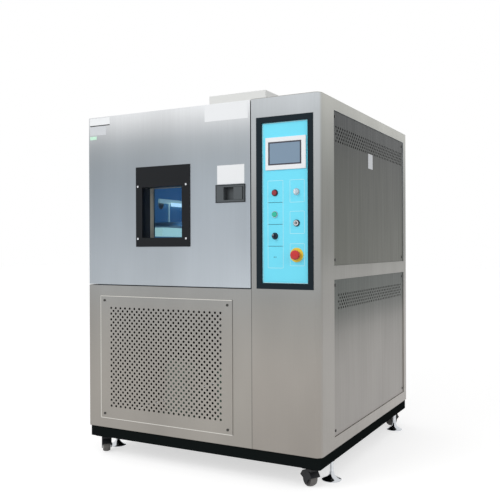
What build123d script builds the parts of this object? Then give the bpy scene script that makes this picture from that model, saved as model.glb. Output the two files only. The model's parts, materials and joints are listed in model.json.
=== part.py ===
"""Environmental test chamber: a floor-standing stainless cabinet with a full-size hinged door.

Millimetres, +Z up, +X to the right seen from the front, front towards -Y.
The origin is on the floor, under the middle of the whole object.
"""
from build123d import *
import math
import os

# Cabinet
body_width = 1215.0
body_depth = 1270.0
body_height = 1500.0
sheet = 2.0
corner_radius = 28.0
column_width = 318.0
column_strip = 156.0
lower_height = 685.0
partition_overlap = 20.0

# Sides of the round forms: drums and wheels, caps and collars, pins and tubes
drum_sides = 20
cap_sides = 16
pin_sides = 12

# Plinth, casters and levelling feet
plinth_height = 50.0
plinth_inset = 5.0
plinth_wall = 4.0
floor_clearance = 90.0
corner_plate_width = 118.0
corner_plate_thickness = 6.0
caster_side_offset = 58.0
caster_end_offset = 54.0
caster_plate_size = 72.0
caster_plate_thickness = 6.0
wheel_diameter = 65.0
wheel_width = 36.0
tread_chamfer = 4.0
axle_radius = 4.0
axle_head_across_flats = 13.0
axle_head_height = 4.0
caster_trail = 20.0
fork_cheek = 4.0
fork_side_gap = 1.5
fork_boss = 15.0
crown_front = 17.0
hood_gap = 3.5
hood_thickness = 3.0
hood_half_angle = 72.0
hood_facets = 4
swivel_disc_radius = 24.0
swivel_disc_height = 6.0
swivel_gap = 0.3
kingpin_radius = 7.0
running_clearance = 0.05
front_left_swivel = 40.0
front_right_swivel = 61.0
rear_left_swivel = 195.0
rear_right_swivel = 160.0
foot_side_offset = 25.0
foot_front_offset = 181.0
foot_rear_offset = 148.0
foot_plate_beyond = 30.0
foot_pad_radius = 43.0
foot_rim_height = 3.0
foot_bell_height = 22.0
foot_neck_radius = 11.0
foot_stem_radius = 8.0
foot_stem_top = 128.0
locknut_across_flats = 24.0
locknut_height = 8.0

# Door
door_gap = 4.5
door_top_gap = 2.5
door_thickness = 55.0
gasket_space = 11.0
gasket_width = 26.0
gasket_inset = 24.0
gasket_clearance = 0.3
plug_depth = 45.0
plug_clearance = 6.0
hinge_pin_offset = 8.0
hinge_axis_behind_door = 5.0
hinge_knuckle_radius = 7.0
hinge_pin_radius = 4.0
hinge_leaf_thickness = 3.0
hinge_link_bite = 1.0
hinge_leaf_reach = 38.0
hinge_height = 110.0
hinge_end_offset = 95.0
hinge_gap = 0.3
hinge_pin_length = 42.0

# Test space, its liner and its air path
space_left_margin = 147.0
space_right_margin = 150.0
space_bottom_margin = 109.0
space_top_margin = 106.0
rear_insulation = 100.0
rear_service_gap = 166.0
duct_depth = 270.0
baffle_slot_height = 46.0
baffle_edge = 26.0
cable_port_radius = 25.0
cable_port_wall = 2.0
cable_port_flange_radius = 36.0
cable_port_depth = 330.0
cable_port_height = 300.0
rail_height_up = 190.0
rail_flange = 16.0
rail_thickness = 2.0
shelf_thickness = 3.0
shelf_front_gap = 40.0
shelf_side_gap = 3.0
shelf_lip = 16.0
shelf_slots = 10
shelf_slot_width = 18.0
shelf_slot_margin = 34.0

# Circulation fan in the roof of the air duct, and its motor under the roof cover
cover_width = 352.0
cover_depth = 350.0
cover_height = 210.0
fan_side_offset = 9.0
fan_behind_baffle = 145.0
fan_radius = 100.0
fan_height = 52.0
fan_blades = 8
fan_plate = 3.0
fan_blade_thickness = 2.0
fan_blade_inner = 44.0
fan_blade_outer = 94.0
fan_hub_radius = 22.0
fan_ceiling_gap = 18.0
shaft_radius = 8.0
shaft_hole_gap = 4.0
motor_radius = 74.0
motor_height = 140.0
motor_base = 8.0
motor_base_half = 95.0
motor_bearing_depth = 30.0
motor_shaft_end_gap = 4.0

# Coil and heater behind the baffle
coil_side_gap = 90.0
coil_height_share = 0.38
coil_depth = 60.0
coil_fins = 7
fin_gap_share = 0.5
coil_spine = 8.0
coil_tube_radius = 8.0
coil_gap = 20.0
heater_rods = 3
heater_radius = 6.0
heater_pitch = 34.0
heater_bracket = 4.0
heater_above_coil = 40.0

# Lower front and its perforated panel
grille_left_margin = 71.0
grille_right_margin = 94.0
grille_bottom_margin = 45.0
grille_top_margin = 50.0
grille_proud = 3.0
grille_lap = 14.0
grille_field_side = 65.0
grille_field_bottom = 63.0
grille_field_top = 58.0
grille_pitch = 66.0
grille_hole = 27.0
grille_screw_side = 25.0
grille_screw_end = 22.5

# Right side covers
cover_front_edge = 156.0
cover_rear_margin = 46.0
upper_cover_above_deck = 100.0
upper_cover_top_margin = 50.0
lower_cover_bottom = 51.0
lower_cover_above_deck = 39.5
cover_recess = 4.0
cover_lap = 18.0
cover_gap = 1.0
side_vent_pitch = 80.0
side_vent_hole = 22.0
side_vent_band = 65.0
upper_vent_drop = 130.0
lower_vent_drop = 127.5
side_vent_margin = 48.0
side_screw_side = 20.0
side_screw_end = 24.0
screw_across_flats = 11.0
screw_head = 2.5

# Back panel
back_slots = 9
back_slot_width = 420.0
back_slot_height = 10.0
back_slot_pitch = 30.0
back_slot_bottom = 150.0
gland_radius = 17.0
gland_length = 22.0
gland_side = 160.0
gland_up = 120.0

# Window in the door
window_width_share = 0.5
window_height_share = 0.62
window_side_offset = 11.0
window_above_space = 75.0
window_plate = 4.0
glass_left_margin = 36.0
glass_right_margin = 43.0
glass_bottom_margin = 42.0
glass_top_margin = 95.0
tunnel_wall = 8.0
pane_thickness = 6.0
pane_recess = 5.0
window_screw_side = 12.0
window_screw_height = 4.5

# Latch
latch_column_gap = 29.0
latch_width = 147.0
latch_top_margin = 361.0
latch_height = 79.0
latch_plate = 3.0
latch_wall = 3.0
latch_cup_depth = 26.0
latch_edge_left = 40.0
latch_edge_right = 8.0
latch_edge_end = 11.0
paddle_width = 42.0
paddle_thickness = 4.0
paddle_proud = 1.0
paddle_lip = 16.0
paddle_barrel_radius = 5.0
paddle_gap = 1.0
latch_pin_radius = 3.0
latch_pin_inset = 6.0
latch_pin_behind_face = 7.0
hook_rise = 10.0
hook_thickness = 6.0
hook_reach = 30.0
hook_arm = 8.0
hook_nose = 10.0
lock_pocket_half_width = 30.0
lock_pocket_height = 32.0
striker_bar_radius = 4.0
striker_nose_gap = 0.5
striker_leg = 6.0
striker_hole_gap = 4.0

# Control panel on the column
panel_left_margin = 25.0
panel_right_margin = 30.0
panel_above_deck = 3.0
panel_top_margin = 84.0
panel_frame = 25.0
panel_proud = 2.0
panel_recess = 6.0
panel_plate = 3.0
panel_back = 16.0
screen_left = 18.0
screen_right = 9.0
screen_top = 64.0
screen_height = 137.0
screen_depth = 5.0
screen_glass_left = 13.0
screen_glass_right = 20.0
screen_glass_bottom = 20.0
screen_glass_top = 19.0
screen_glass_sunk = 1.2
operator_left_margin = 60.0
operator_right_margin = 53.0
operator_left_rows = {"red_button": 0.799, "green_button": 0.608, "black_selector": 0.417}
operator_right_rows = {"silver_selector": 0.801, "key_switch": 0.528, "estop_button": 0.2495}
collar_radius = 14.5
collar_height = 4.0
cap_radius = 11.0
cap_proud = 5.0
cap_in_collar = 0.5
selector_base_proud = 2.5
selector_proud = 16.0
selector_grip = 7.0
selector_grip_length = 19.0
key_switch_proud = 5.0
key_slot = 2.0
key_slot_length = 11.0
estop_disc_radius = 30.0
estop_disc_thickness = 2.0
estop_head_radius = 20.0
estop_head_top_radius = 13.0
estop_head_height = 20.0
estop_head_bevel = 8.0
estop_gap = 8.0
estop_collar_radius = 13.0
estop_collar_length = 14.0
estop_recess = 12.0
contact_block_width = 30.0
contact_block_depth = 34.0

# Refrigeration unit in the machine compartment
compressor_radius = 92.0
compressor_height = 300.0
compressor_top_radius = 58.0
compressor_dome = 34.0
compressor_bevel = 20.0
compressor_foot_side = 16.0
compressor_foot_depth = 150.0
compressor_foot_height = 24.0
compressor_front = 330.0
compressor_places = [0.368, 0.702]
condenser_width = 520.0
condenser_height = 400.0
condenser_depth = 70.0
condenser_side_gap = 84.0
condenser_rear_gap = 40.0
condenser_fins = 7
shroud_depth = 60.0
condenser_fan_margin = 40.0
condenser_fan_gap = 6.0
condenser_fan_blades = 5
condenser_fan_pitch = 24.0
condenser_blade_thickness = 3.0
condenser_blade_depth = 36.0
condenser_blade_root = 20.0
condenser_hub_radius = 40.0
condenser_hub_depth = 40.0
condenser_motor_radius = 42.0
condenser_motor_depth = 70.0
condenser_shaft_depth = 35.0
condenser_arm = 16.0
condenser_arm_root = 34.0

# Electrical gear behind the side covers
gear_plate_front = 240.0
gear_plate_rear_gap = 270.0
gear_plate_bottom = 330.0
gear_plate_top_gap = 270.0
gear_plate_standoff = 24.0
gear_plate_thickness = 3.0
gear_rows = 3
gear_row_space = 150.0
gear_device_depth = 75.0
gear_devices = [(90.0, 150.0), (150.0, 110.0), (45.0, 85.0), (45.0, 85.0), (70.0, 95.0)]

# Frame angles and deck
deck_thickness = 3.0
angle_width = 40.0
angle_thickness = 4.0

# Places worked out from the sizes above
front_reach = estop_disc_thickness + estop_gap + estop_head_height - panel_recess
left = -body_width / 2
right = left + body_width
front = (front_reach - body_depth) / 2
back = front + body_depth
plinth_top = floor_clearance + plinth_height
top = plinth_top + body_height
deck_top = plinth_top + lower_height
column_left = right - column_width
flange_front = front + door_thickness + gasket_space
door_right = column_left - door_gap
door_bottom = deck_top + door_gap
door_top = top - door_top_gap
door_back = front + door_thickness
hinge_x = left - hinge_pin_offset
hinge_y = door_back + hinge_axis_behind_door
space_left = left + space_left_margin
space_right = column_left - space_right_margin
space_middle = (space_left + space_right) / 2
space_bottom = deck_top + space_bottom_margin
space_top = top - space_top_margin
liner_back = back - 2 * sheet - rear_insulation - rear_service_gap
baffle_y = liner_back - duct_depth
plug_back = door_back + plug_depth
port_y = flange_front + cable_port_depth
port_z = space_bottom + cable_port_height
window_width = (space_right - space_left) * window_width_share
window_height = (space_top - space_bottom) * window_height_share
window_left = space_middle - window_side_offset - window_width / 2
window_z = space_bottom + window_above_space
glass_left = window_left + glass_left_margin
glass_width = window_width - glass_left_margin - glass_right_margin
glass_z = window_z + glass_bottom_margin
glass_height = window_height - glass_bottom_margin - glass_top_margin
latch_left = column_left - latch_column_gap - latch_width
latch_z = top - latch_top_margin - latch_height
latch_pin_x = latch_left + latch_width - latch_edge_right - latch_pin_inset
latch_pin_y = front + latch_pin_behind_face
hook_z = latch_z + latch_height + hook_rise
hook_middle = hook_z + hook_thickness / 2
striker_x = latch_pin_x + hook_arm / 2 + hook_nose + striker_nose_gap + striker_bar_radius
striker_y = latch_pin_y + hook_reach - hook_arm / 2
panel_x = column_left + panel_left_margin
panel_z = deck_top + panel_above_deck
panel_width = column_width - panel_left_margin - panel_right_margin
panel_height = top - panel_top_margin - panel_z
panel_face = front + panel_recess
collar_front = panel_face - collar_height
plate_x = panel_x + panel_frame
plate_z = panel_z + panel_frame
plate_width = panel_width - 2 * panel_frame
plate_height = panel_height - 2 * panel_frame
screen_x = plate_x + screen_left
screen_z = plate_z + plate_height - screen_top - screen_height
screen_width = plate_width - screen_left - screen_right
fan_x = space_middle - fan_side_offset
fan_y = baffle_y + fan_behind_baffle
fan_top = space_top - fan_ceiling_gap
coil_left = space_left + coil_side_gap
coil_width = space_right - coil_side_gap - coil_left
coil_height = (space_top - space_bottom) * coil_height_share
grille_left = left + grille_left_margin
grille_right = column_left - grille_right_margin
grille_bottom = plinth_top + grille_bottom_margin
grille_top = deck_top - grille_top_margin
lower_cover_top = deck_top + lower_cover_above_deck
upper_cover_top = top - upper_cover_top_margin
condenser_fan_radius = condenser_height / 2 - condenser_fan_margin
condenser_back = back - sheet - condenser_rear_gap
condenser_front = condenser_back - condenser_depth
condenser_x = left + condenser_side_gap + condenser_width / 2
condenser_z = plinth_top + condenser_height / 2
shroud_front = condenser_front - shroud_depth
condenser_motor_back = shroud_front - condenser_arm


def block(x0, x1, y0, y1, z0, z1):
    """A box between its low and its high corner."""
    middle = Pos((x0 + x1) / 2, (y0 + y1) / 2, (z0 + z1) / 2)
    return middle * Box(x1 - x0, y1 - y0, z1 - z0)


def rod(radius, length, sides):
    """A many-sided rod up from the origin, its corners at the radius."""
    return extrude(RegularPolygon(radius, sides), length)


def rod_x(x0, x1, y, z, radius, sides=pin_sides):
    """A rod along X."""
    return Pos(x0, y, z) * Rot(0, 90, 0) * rod(radius, x1 - x0, sides)


def rod_y(x, y0, y1, z, radius, sides=pin_sides):
    """A rod along Y."""
    return Pos(x, y1, z) * Rot(90, 0, 0) * rod(radius, y1 - y0, sides)


def rod_z(x, y, z0, z1, radius, sides=pin_sides):
    """A rod along Z."""
    return Pos(x, y, z0) * rod(radius, z1 - z0, sides)


def bore(radius, sides=pin_sides):
    """Corner radius of a many-sided bore whose flats stand at the radius plus the running clearance."""
    return (radius + running_clearance) / math.cos(math.pi / sides)


def hexagon(across_flats):
    """A hexagon, by the distance between its flats."""
    return RegularPolygon(across_flats / 2, 6, major_radius=False)


def drum(sections, sides=drum_sides):
    """A many-sided solid on the Z axis through rising (corner radius, height) sections."""
    solid = Part()
    for (r0, z0), (r1, z1) in zip(sections, sections[1:]):
        slope = math.degrees(math.atan(abs(r1 - r0) * math.cos(math.pi / sides) / (z1 - z0)))
        place = Pos(0, 0, z0) if r0 >= r1 else Pos(0, 0, z1) * Rot(180, 0, 0)
        solid += place * extrude(RegularPolygon(max(r0, r1), sides), z1 - z0, taper=slope)
    return solid


def staggered(u0, u1, v0, v1, pitch):
    """Centres of a staggered hole pattern that fills a rectangle as evenly as the pitch allows."""
    columns = max(1, round((u1 - u0) / pitch))
    rows = max(1, round((v1 - v0) / pitch))
    du = (u1 - u0) / columns
    dv = (v1 - v0) / rows
    main = [(u0 + i * du, v0 + j * dv) for i in range(columns + 1) for j in range(rows + 1)]
    between = [(u0 + (i + 0.5) * du, v0 + (j + 0.5) * dv) for i in range(columns) for j in range(rows)]
    return main + between


def perforated(place, u0, u1, v0, v1, centres, hole, thickness):
    """A flat sheet with square holes stood on their corners; place puts (u, v) in space."""
    corners = [(u0, v0), (u1, v0), (u1, v1), (u0, v1)]
    outer = Wire.make_polygon([place(u, v) for u, v in corners])
    half = hole / 2
    around = [(half, 0), (0, half), (-half, 0), (0, -half)]
    holes = [Wire.make_polygon([place(u + a, v + b) for a, b in around]) for u, v in centres]
    return Solid.extrude(Face(outer, holes), thickness)


def corner_places():
    """Sign and mount places of the four corners: front left, front right, rear left, rear right."""
    for name, side, end, swivel in (
        ("front_left", -1, -1, front_left_swivel),
        ("front_right", 1, -1, front_right_swivel),
        ("rear_left", -1, 1, rear_left_swivel),
        ("rear_right", 1, 1, rear_right_swivel),
    ):
        edge_x = right if side > 0 else left
        edge_y = back if end > 0 else front
        foot_end = foot_rear_offset if end > 0 else foot_front_offset
        caster = (edge_x - side * caster_side_offset, edge_y - end * caster_end_offset)
        foot = (edge_x - side * foot_side_offset, edge_y - end * foot_end)
        yield name, side, end, swivel, caster, foot


def base_frame():
    """Plinth ring with floor pan, corner plates and caster plates."""
    x0 = left + plinth_inset
    x1 = right - plinth_inset
    y0 = front + plinth_inset
    y1 = back - plinth_inset
    ring = block(x0, x1, y0, y1, floor_clearance, plinth_top)
    ring -= block(x0 + plinth_wall, x1 - plinth_wall, y0 + plinth_wall, y1 - plinth_wall,
                  floor_clearance, plinth_top - sheet)
    caster_plates = []
    for _, side, end, _, caster, foot in corner_places():
        wall_x = x1 - plinth_wall if side > 0 else x0 + plinth_wall
        wall_y = y1 - plinth_wall if end > 0 else y0 + plinth_wall
        far_x = wall_x - side * corner_plate_width
        far_y = foot[1] - end * foot_plate_beyond
        plate = block(min(wall_x, far_x), max(wall_x, far_x), min(wall_y, far_y), max(wall_y, far_y),
                      floor_clearance, floor_clearance + corner_plate_thickness)
        plate -= rod_z(*foot, floor_clearance, floor_clearance + corner_plate_thickness,
                       bore(foot_stem_radius))
        ring += plate
        half = caster_plate_size / 2
        under = block(caster[0] - half, caster[0] + half, caster[1] - half, caster[1] + half,
                      floor_clearance - caster_plate_thickness, floor_clearance)
        under -= rod_z(*caster, floor_clearance - caster_plate_thickness, floor_clearance,
                       bore(kingpin_radius))
        caster_plates.append(under)
    return [ring] + caster_plates


def hood_corners(radius):
    """Corners of the hood's flat facets round the axle, as (distance behind, height above) it."""
    step = 2 * hood_half_angle / hood_facets
    angles = [math.radians(i * step - hood_half_angle) for i in range(hood_facets + 1)]
    return [(radius * math.sin(a), radius * math.cos(a)) for a in angles]


def caster_fork(caster, swivel):
    """Swivel disc with kingpin, crown, hood, two cheeks and the axle bolt between them."""
    disc_top = floor_clearance - caster_plate_thickness - swivel_gap
    disc_bottom = disc_top - swivel_disc_height
    axle_z = wheel_diameter / 2
    inner = wheel_width / 2 + fork_side_gap
    outer = inner + fork_cheek
    facet = math.cos(math.radians(hood_half_angle / hood_facets))
    hood_inner = (wheel_diameter / 2 + hood_gap) / facet
    hood_outer = hood_inner + hood_thickness / facet
    boss = [(fork_boss, 0), (fork_boss / 2, -fork_boss), (-fork_boss / 2, -fork_boss), (-fork_boss, 0)]
    cheek = Plane.YZ * Polygon(*hood_corners(hood_outer), *boss, align=None)
    strip = Plane.YZ * Polygon(*hood_corners(hood_outer), *reversed(hood_corners(hood_inner)), align=None)
    hood = extrude(strip, inner, both=True)
    for side in (-1, 1):
        hood += Pos(side * (inner + fork_cheek / 2), 0, 0) * extrude(cheek, fork_cheek / 2, both=True)
    fork = Pos(0, caster_trail, axle_z) * hood
    fork += rod_z(0, 0, disc_bottom, disc_top, swivel_disc_radius, cap_sides)
    fork += rod_z(0, 0, disc_top, floor_clearance - swivel_gap, kingpin_radius)
    fork += block(-outer, outer, -crown_front, caster_trail, axle_z + wheel_diameter / 2 + hood_gap
                  + hood_thickness / 2, disc_bottom + swivel_disc_height / 2)
    fork += rod_x(-outer, outer, caster_trail, axle_z, axle_radius)
    fork += Pos(outer, caster_trail, axle_z) * Rot(0, 90, 0) * extrude(
        hexagon(axle_head_across_flats), axle_head_height)
    return Pos(caster[0], caster[1], 0) * Rot(0, 0, swivel) * fork


def caster_wheel(caster, swivel):
    """Wheel with a bevelled tread, bored for its axle."""
    radius = wheel_diameter / 2
    half = wheel_width / 2
    wheel = drum([(radius - tread_chamfer, -half), (radius, tread_chamfer - half),
                  (radius, half - tread_chamfer), (radius - tread_chamfer, half)])
    wheel -= rod_z(0, 0, -half, half, bore(axle_radius))
    turn = Rot(0, 0, swivel) * Pos(0, caster_trail, radius) * Rot(0, 90, 0)
    return Pos(caster[0], caster[1], 0) * turn * wheel


def levelling_foot(foot):
    """Bell-shaped pad in one with its threaded stem."""
    pad = drum([(foot_pad_radius, 0), (foot_pad_radius, foot_rim_height),
                (foot_neck_radius, foot_bell_height)])
    return Pos(*foot, 0) * (pad + rod_z(0, 0, foot_bell_height, foot_stem_top, foot_stem_radius))


def screw(x, y, z, turn):
    """A flat screw head whose outer face is turned from +Z."""
    return Pos(x, y, z) * turn * extrude(hexagon(screw_across_flats), screw_head)


def fasteners():
    """Lock nuts of the feet, and the screws of the covers."""
    solids = []
    for _, _, _, _, _, foot in corner_places():
        nut = Pos(foot[0], foot[1], floor_clearance - locknut_height) * extrude(
            hexagon(locknut_across_flats), locknut_height)
        nut -= rod_z(*foot, floor_clearance - locknut_height, floor_clearance, bore(foot_stem_radius))
        solids.append(nut)
    for x in (grille_left + grille_screw_side, grille_right - grille_screw_side):
        for z in (grille_bottom + grille_screw_end, grille_top - grille_screw_end):
            solids.append(screw(x, front - grille_proud, z, Rot(90, 0, 0)))
    for z0, z1 in side_openings():
        for y in (front + cover_front_edge + side_screw_side, back - cover_rear_margin - side_screw_side):
            for z in (z0 + side_screw_end, z1 - side_screw_end):
                solids.append(screw(right - cover_recess, y, z, Rot(0, 90, 0)))
    return solids


def front_frame():
    """Lower front sheet with the opening behind the grille, and the ledge under the door."""
    frame = block(left, column_left, front, front + sheet, plinth_top, deck_top)
    frame -= block(grille_left + grille_lap, grille_right - grille_lap, front, front + sheet,
                   grille_bottom + grille_lap, grille_top - grille_lap)
    ledge = block(left + sheet, column_left, front + sheet, flange_front, deck_top - sheet, deck_top)
    return frame + ledge


def grille_panel():
    """Perforated front panel with folded edges, screwed on the front sheet."""
    face_y = front - grille_proud
    centres = staggered(grille_left + grille_field_side, grille_right - grille_field_side,
                        grille_bottom + grille_field_bottom, grille_top - grille_field_top, grille_pitch)
    panel = perforated(lambda u, v: (u, face_y, v), grille_left, grille_right, grille_bottom, grille_top,
                       centres, grille_hole, Vector(0, sheet, 0))
    rim = block(grille_left, grille_right, face_y + sheet, front, grille_bottom, grille_top)
    rim -= block(grille_left + sheet, grille_right - sheet, face_y + sheet, front,
                 grille_bottom + sheet, grille_top - sheet)
    return panel + rim


def control_column():
    """Right front column with its rounded edge, and the side frame that holds the two covers."""
    outer = block(column_left, right, front, front + column_strip, plinth_top, top - sheet)
    outer = fillet(outer.edges().filter_by(Axis.Z).sort_by(lambda e: e.center().X - e.center().Y)[-1],
                   corner_radius)
    inner = block(column_left + sheet, right - sheet, front + sheet, front + column_strip,
                  plinth_top, top - sheet)
    inner = fillet(inner.edges().filter_by(Axis.Z).sort_by(lambda e: e.center().X - e.center().Y)[-1],
                   corner_radius - sheet)
    column = outer - inner
    column -= block(column_left, column_left + sheet, flange_front + partition_overlap,
                    front + column_strip, plinth_top, top - sheet)
    column -= block(plate_x - panel_plate, plate_x + plate_width + panel_plate, front, front + sheet,
                    plate_z - panel_plate, plate_z + plate_height + panel_plate)
    side = block(right - sheet, right, front + column_strip, back, plinth_top, top - sheet)
    y0 = front + cover_front_edge
    y1 = back - cover_rear_margin
    for z0, z1 in side_openings():
        side -= block(right - sheet, right, y0, y1, z0, z1)
    frame = column + side
    depth = cover_recess + 2 * sheet
    for z0, z1 in side_openings():
        step = block(right - depth, right - sheet, y0 - sheet, y1 + sheet, z0 - sheet, z1 + sheet)
        step -= block(right - depth + sheet, right - sheet, y0, y1, z0, z1)
        step -= block(right - depth, right - depth + sheet, y0 + cover_lap, y1 - cover_lap,
                      z0 + cover_lap, z1 - cover_lap)
        frame += step
    return frame


def side_openings():
    """Lower and upper edge of each side opening."""
    return [(plinth_top + lower_cover_bottom, lower_cover_top),
            (deck_top + upper_cover_above_deck, upper_cover_top)]


def side_covers():
    """Upper and lower side covers, each with its band of vents near the top."""
    covers = []
    y0 = front + cover_front_edge + cover_gap
    y1 = back - cover_rear_margin - cover_gap
    vents = [lower_cover_top - lower_vent_drop, upper_cover_top - upper_vent_drop]
    for (z0, z1), vent in zip(side_openings(), vents):
        half = side_vent_hole / 2
        centres = staggered(y0 + side_vent_margin, y1 - side_vent_margin,
                            vent + half, vent + side_vent_band - half, side_vent_pitch)
        covers.append(perforated(lambda u, v: (right - cover_recess, u, v), y0, y1,
                                 z0 + cover_gap, z1 - cover_gap, centres, side_vent_hole,
                                 Vector(-sheet, 0, 0)))
    return covers


def cabinet_shell():
    """Left wall, and the roof sheet that lies on it."""
    wall = block(left, left + sheet, front + sheet, back, plinth_top, top - sheet)
    wall -= block(left, left + sheet, front + sheet, flange_front, deck_top, top - sheet)
    roof = block(left, right, front, back, top - sheet, top)
    roof = fillet(roof.edges().filter_by(Axis.Z).sort_by(lambda e: e.center().X - e.center().Y)[-1],
                  corner_radius)
    roof -= block(left, column_left, front, flange_front, top - sheet, top)
    roof -= rod_z(fan_x, fan_y, top - sheet, top, shaft_radius + shaft_hole_gap)
    return [wall - cable_tube(left, left + sheet), roof]


def chassis():
    """Deck, partition and corner angles that carry the insulated box."""
    deck = block(left + sheet, column_left, flange_front, back - sheet, deck_top - deck_thickness, deck_top)
    partition = block(column_left, column_left + sheet, flange_front + partition_overlap, back - sheet,
                      plinth_top, top - sheet)
    posts = []
    for x, side in ((left + sheet, 1), (column_left, -1)):
        for y, end in ((front + sheet, 1), (back - sheet, -1)):
            a = block(*sorted((x, x + side * angle_width)), *sorted((y, y + end * angle_thickness)),
                      plinth_top, deck_top - deck_thickness)
            b = block(*sorted((x, x + side * angle_thickness)), *sorted((y, y + end * angle_width)),
                      plinth_top, deck_top - deck_thickness)
            posts.append(a + b)
    return [deck, partition] + posts


def back_panel():
    """Rear sheet with the air outlet slots of the condenser, and the supply gland."""
    panel = block(left + sheet, right - sheet, back - sheet, back, plinth_top, top - sheet)
    for i in range(back_slots):
        z = plinth_top + back_slot_bottom + i * back_slot_pitch
        panel -= block(condenser_x - back_slot_width / 2, condenser_x + back_slot_width / 2,
                       back - sheet, back, z, z + back_slot_height)
    gland = rod_y(right - gland_side, back - gland_length, back - sheet, plinth_top + gland_up, gland_radius)
    return [panel, gland]


def motor_cover():
    """Open-bottomed box over the fan motor."""
    x0 = fan_x - cover_width / 2
    y0 = fan_y - cover_depth / 2
    box = block(x0, x0 + cover_width, y0, y0 + cover_depth, top, top + cover_height)
    box -= block(x0 + sheet, x0 + cover_width - sheet, y0 + sheet, y0 + cover_depth - sheet,
                 top, top + cover_height - sheet)
    return box


def inner_liner():
    """Stainless box of the test space with its front flange."""
    box = block(space_left - sheet, space_right + sheet, flange_front, liner_back + sheet,
                space_bottom - sheet, space_top + sheet)
    box += block(left + sheet, column_left, flange_front, flange_front + sheet, deck_top, top - sheet)
    box -= block(space_left, space_right, flange_front, liner_back, space_bottom, space_top)
    box -= rod_z(fan_x, fan_y, space_top, space_top + sheet, shaft_radius + shaft_hole_gap)
    return box - cable_tube(space_left - sheet, space_left)


def insulation():
    """Insulation round the liner."""
    fill = block(left + sheet, column_left, flange_front + sheet, liner_back + sheet + rear_insulation,
                 deck_top, top - sheet)
    fill -= block(space_left - sheet, space_right + sheet, flange_front + sheet, liner_back + sheet,
                  space_bottom - sheet, space_top + sheet)
    fill -= rod_z(fan_x, fan_y, space_top + sheet, top - sheet, shaft_radius + shaft_hole_gap)
    return fill - cable_tube(left + sheet, space_left - sheet)


def cable_tube(x0, x1):
    """Outer form of the cable port's tube between two places."""
    return rod_x(x0, x1, port_y, port_z, cable_port_radius + cable_port_wall, drum_sides)


def cable_port():
    """Tube through the left wall for test leads, with an outer flange and a round bore."""
    x0 = left - cable_port_wall
    tube = cable_tube(left, space_left) + rod_x(x0, left, port_y, port_z, cable_port_flange_radius, drum_sides)
    middle = Pos((x0 + space_left) / 2, port_y, port_z)
    return tube - middle * Rot(0, 90, 0) * Cylinder(cable_port_radius, space_left - x0)


def air_baffle():
    """Rear wall of the test space, with an outlet slot above and an intake slot below."""
    plate = block(space_left, space_right, baffle_y, baffle_y + sheet, space_bottom, space_top)
    for z in (space_bottom + baffle_edge, space_top - baffle_edge - baffle_slot_height):
        plate -= block(space_left + baffle_edge, space_right - baffle_edge, baffle_y, baffle_y + sheet,
                       z, z + baffle_slot_height)
    return plate


def shelf_rails():
    """Two angle rails on the side walls of the liner."""
    y1 = baffle_y
    y0 = flange_front + plug_reach() + shelf_front_gap
    z = space_bottom + rail_height_up
    rails = []
    for x, side in ((space_left, 1), (space_right, -1)):
        foot = block(*sorted((x, x + side * rail_flange)), y0, y1, z - rail_thickness, z)
        web = block(*sorted((x, x + side * rail_thickness)), y0, y1, z - rail_flange, z)
        rails.append(foot + web)
    return rails


def plug_reach():
    """How far the door's plug reaches behind the flange."""
    return plug_depth - gasket_space


def shelf():
    """Slotted sheet shelf with a folded front lip, lying on the rails."""
    x0 = space_left + shelf_side_gap
    x1 = space_right - shelf_side_gap
    y0 = flange_front + plug_reach() + shelf_front_gap
    y1 = baffle_y - shelf_front_gap
    z0 = space_bottom + rail_height_up
    plate = block(x0, x1, y0, y1, z0, z0 + shelf_thickness)
    plate += block(x0, x1, y0 - shelf_thickness, y0, z0 - shelf_lip, z0 + shelf_thickness)
    pitch = (x1 - x0 - 2 * shelf_slot_margin - shelf_slot_width) / (shelf_slots - 1)
    for i in range(shelf_slots):
        x = x0 + shelf_slot_margin + i * pitch
        plate -= block(x, x + shelf_slot_width, y0 + shelf_slot_margin, y1 - shelf_slot_margin,
                       z0, z0 + shelf_thickness)
    return plate


def circulation_fan():
    """Centrifugal wheel with straight blades on its long shaft."""
    z1 = fan_top
    z0 = z1 - fan_height
    wheel = rod_z(fan_x, fan_y, z1 - fan_plate, z1, fan_radius, drum_sides)
    wheel += rod_z(fan_x, fan_y, z0, z1, fan_hub_radius)
    for i in range(fan_blades):
        blade = block(fan_blade_inner, fan_blade_outer, -fan_blade_thickness / 2, fan_blade_thickness / 2,
                      z0, z1 - fan_plate)
        wheel += Pos(fan_x, fan_y, 0) * Rot(0, 0, 360 / fan_blades * i) * blade
    wheel += rod_z(fan_x, fan_y, z1, motor_bearing_top() - motor_shaft_end_gap, shaft_radius)
    return wheel


def motor_bearing_top():
    """Upper end of the motor's shaft bore."""
    return top + motor_base + motor_bearing_depth


def fan_motor():
    """Fan motor standing on the roof, bored for the fan shaft."""
    base = block(fan_x - motor_base_half, fan_x + motor_base_half, fan_y - motor_base_half,
                 fan_y + motor_base_half, top, top + motor_base)
    body = rod_z(fan_x, fan_y, top + motor_base, top + motor_base + motor_height, motor_radius, drum_sides)
    return base + body - rod_z(fan_x, fan_y, top, motor_bearing_top(), bore(shaft_radius))


def finned_block(x0, width, y0, depth, z0, height, fins):
    """A pack of vertical fins joined by a spine in the middle of its depth."""
    pitch = width / fins
    half_gap = pitch * fin_gap_share / 2
    middle = y0 + depth / 2
    pack = block(x0, x0 + width, y0, y0 + depth, z0, z0 + height)
    for i in range(fins):
        x = x0 + (i + 0.5) * pitch
        for a, b in ((y0, middle - coil_spine / 2), (middle + coil_spine / 2, y0 + depth)):
            pack -= block(x - half_gap, x + half_gap, a, b, z0, z0 + height)
    return pack


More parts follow.
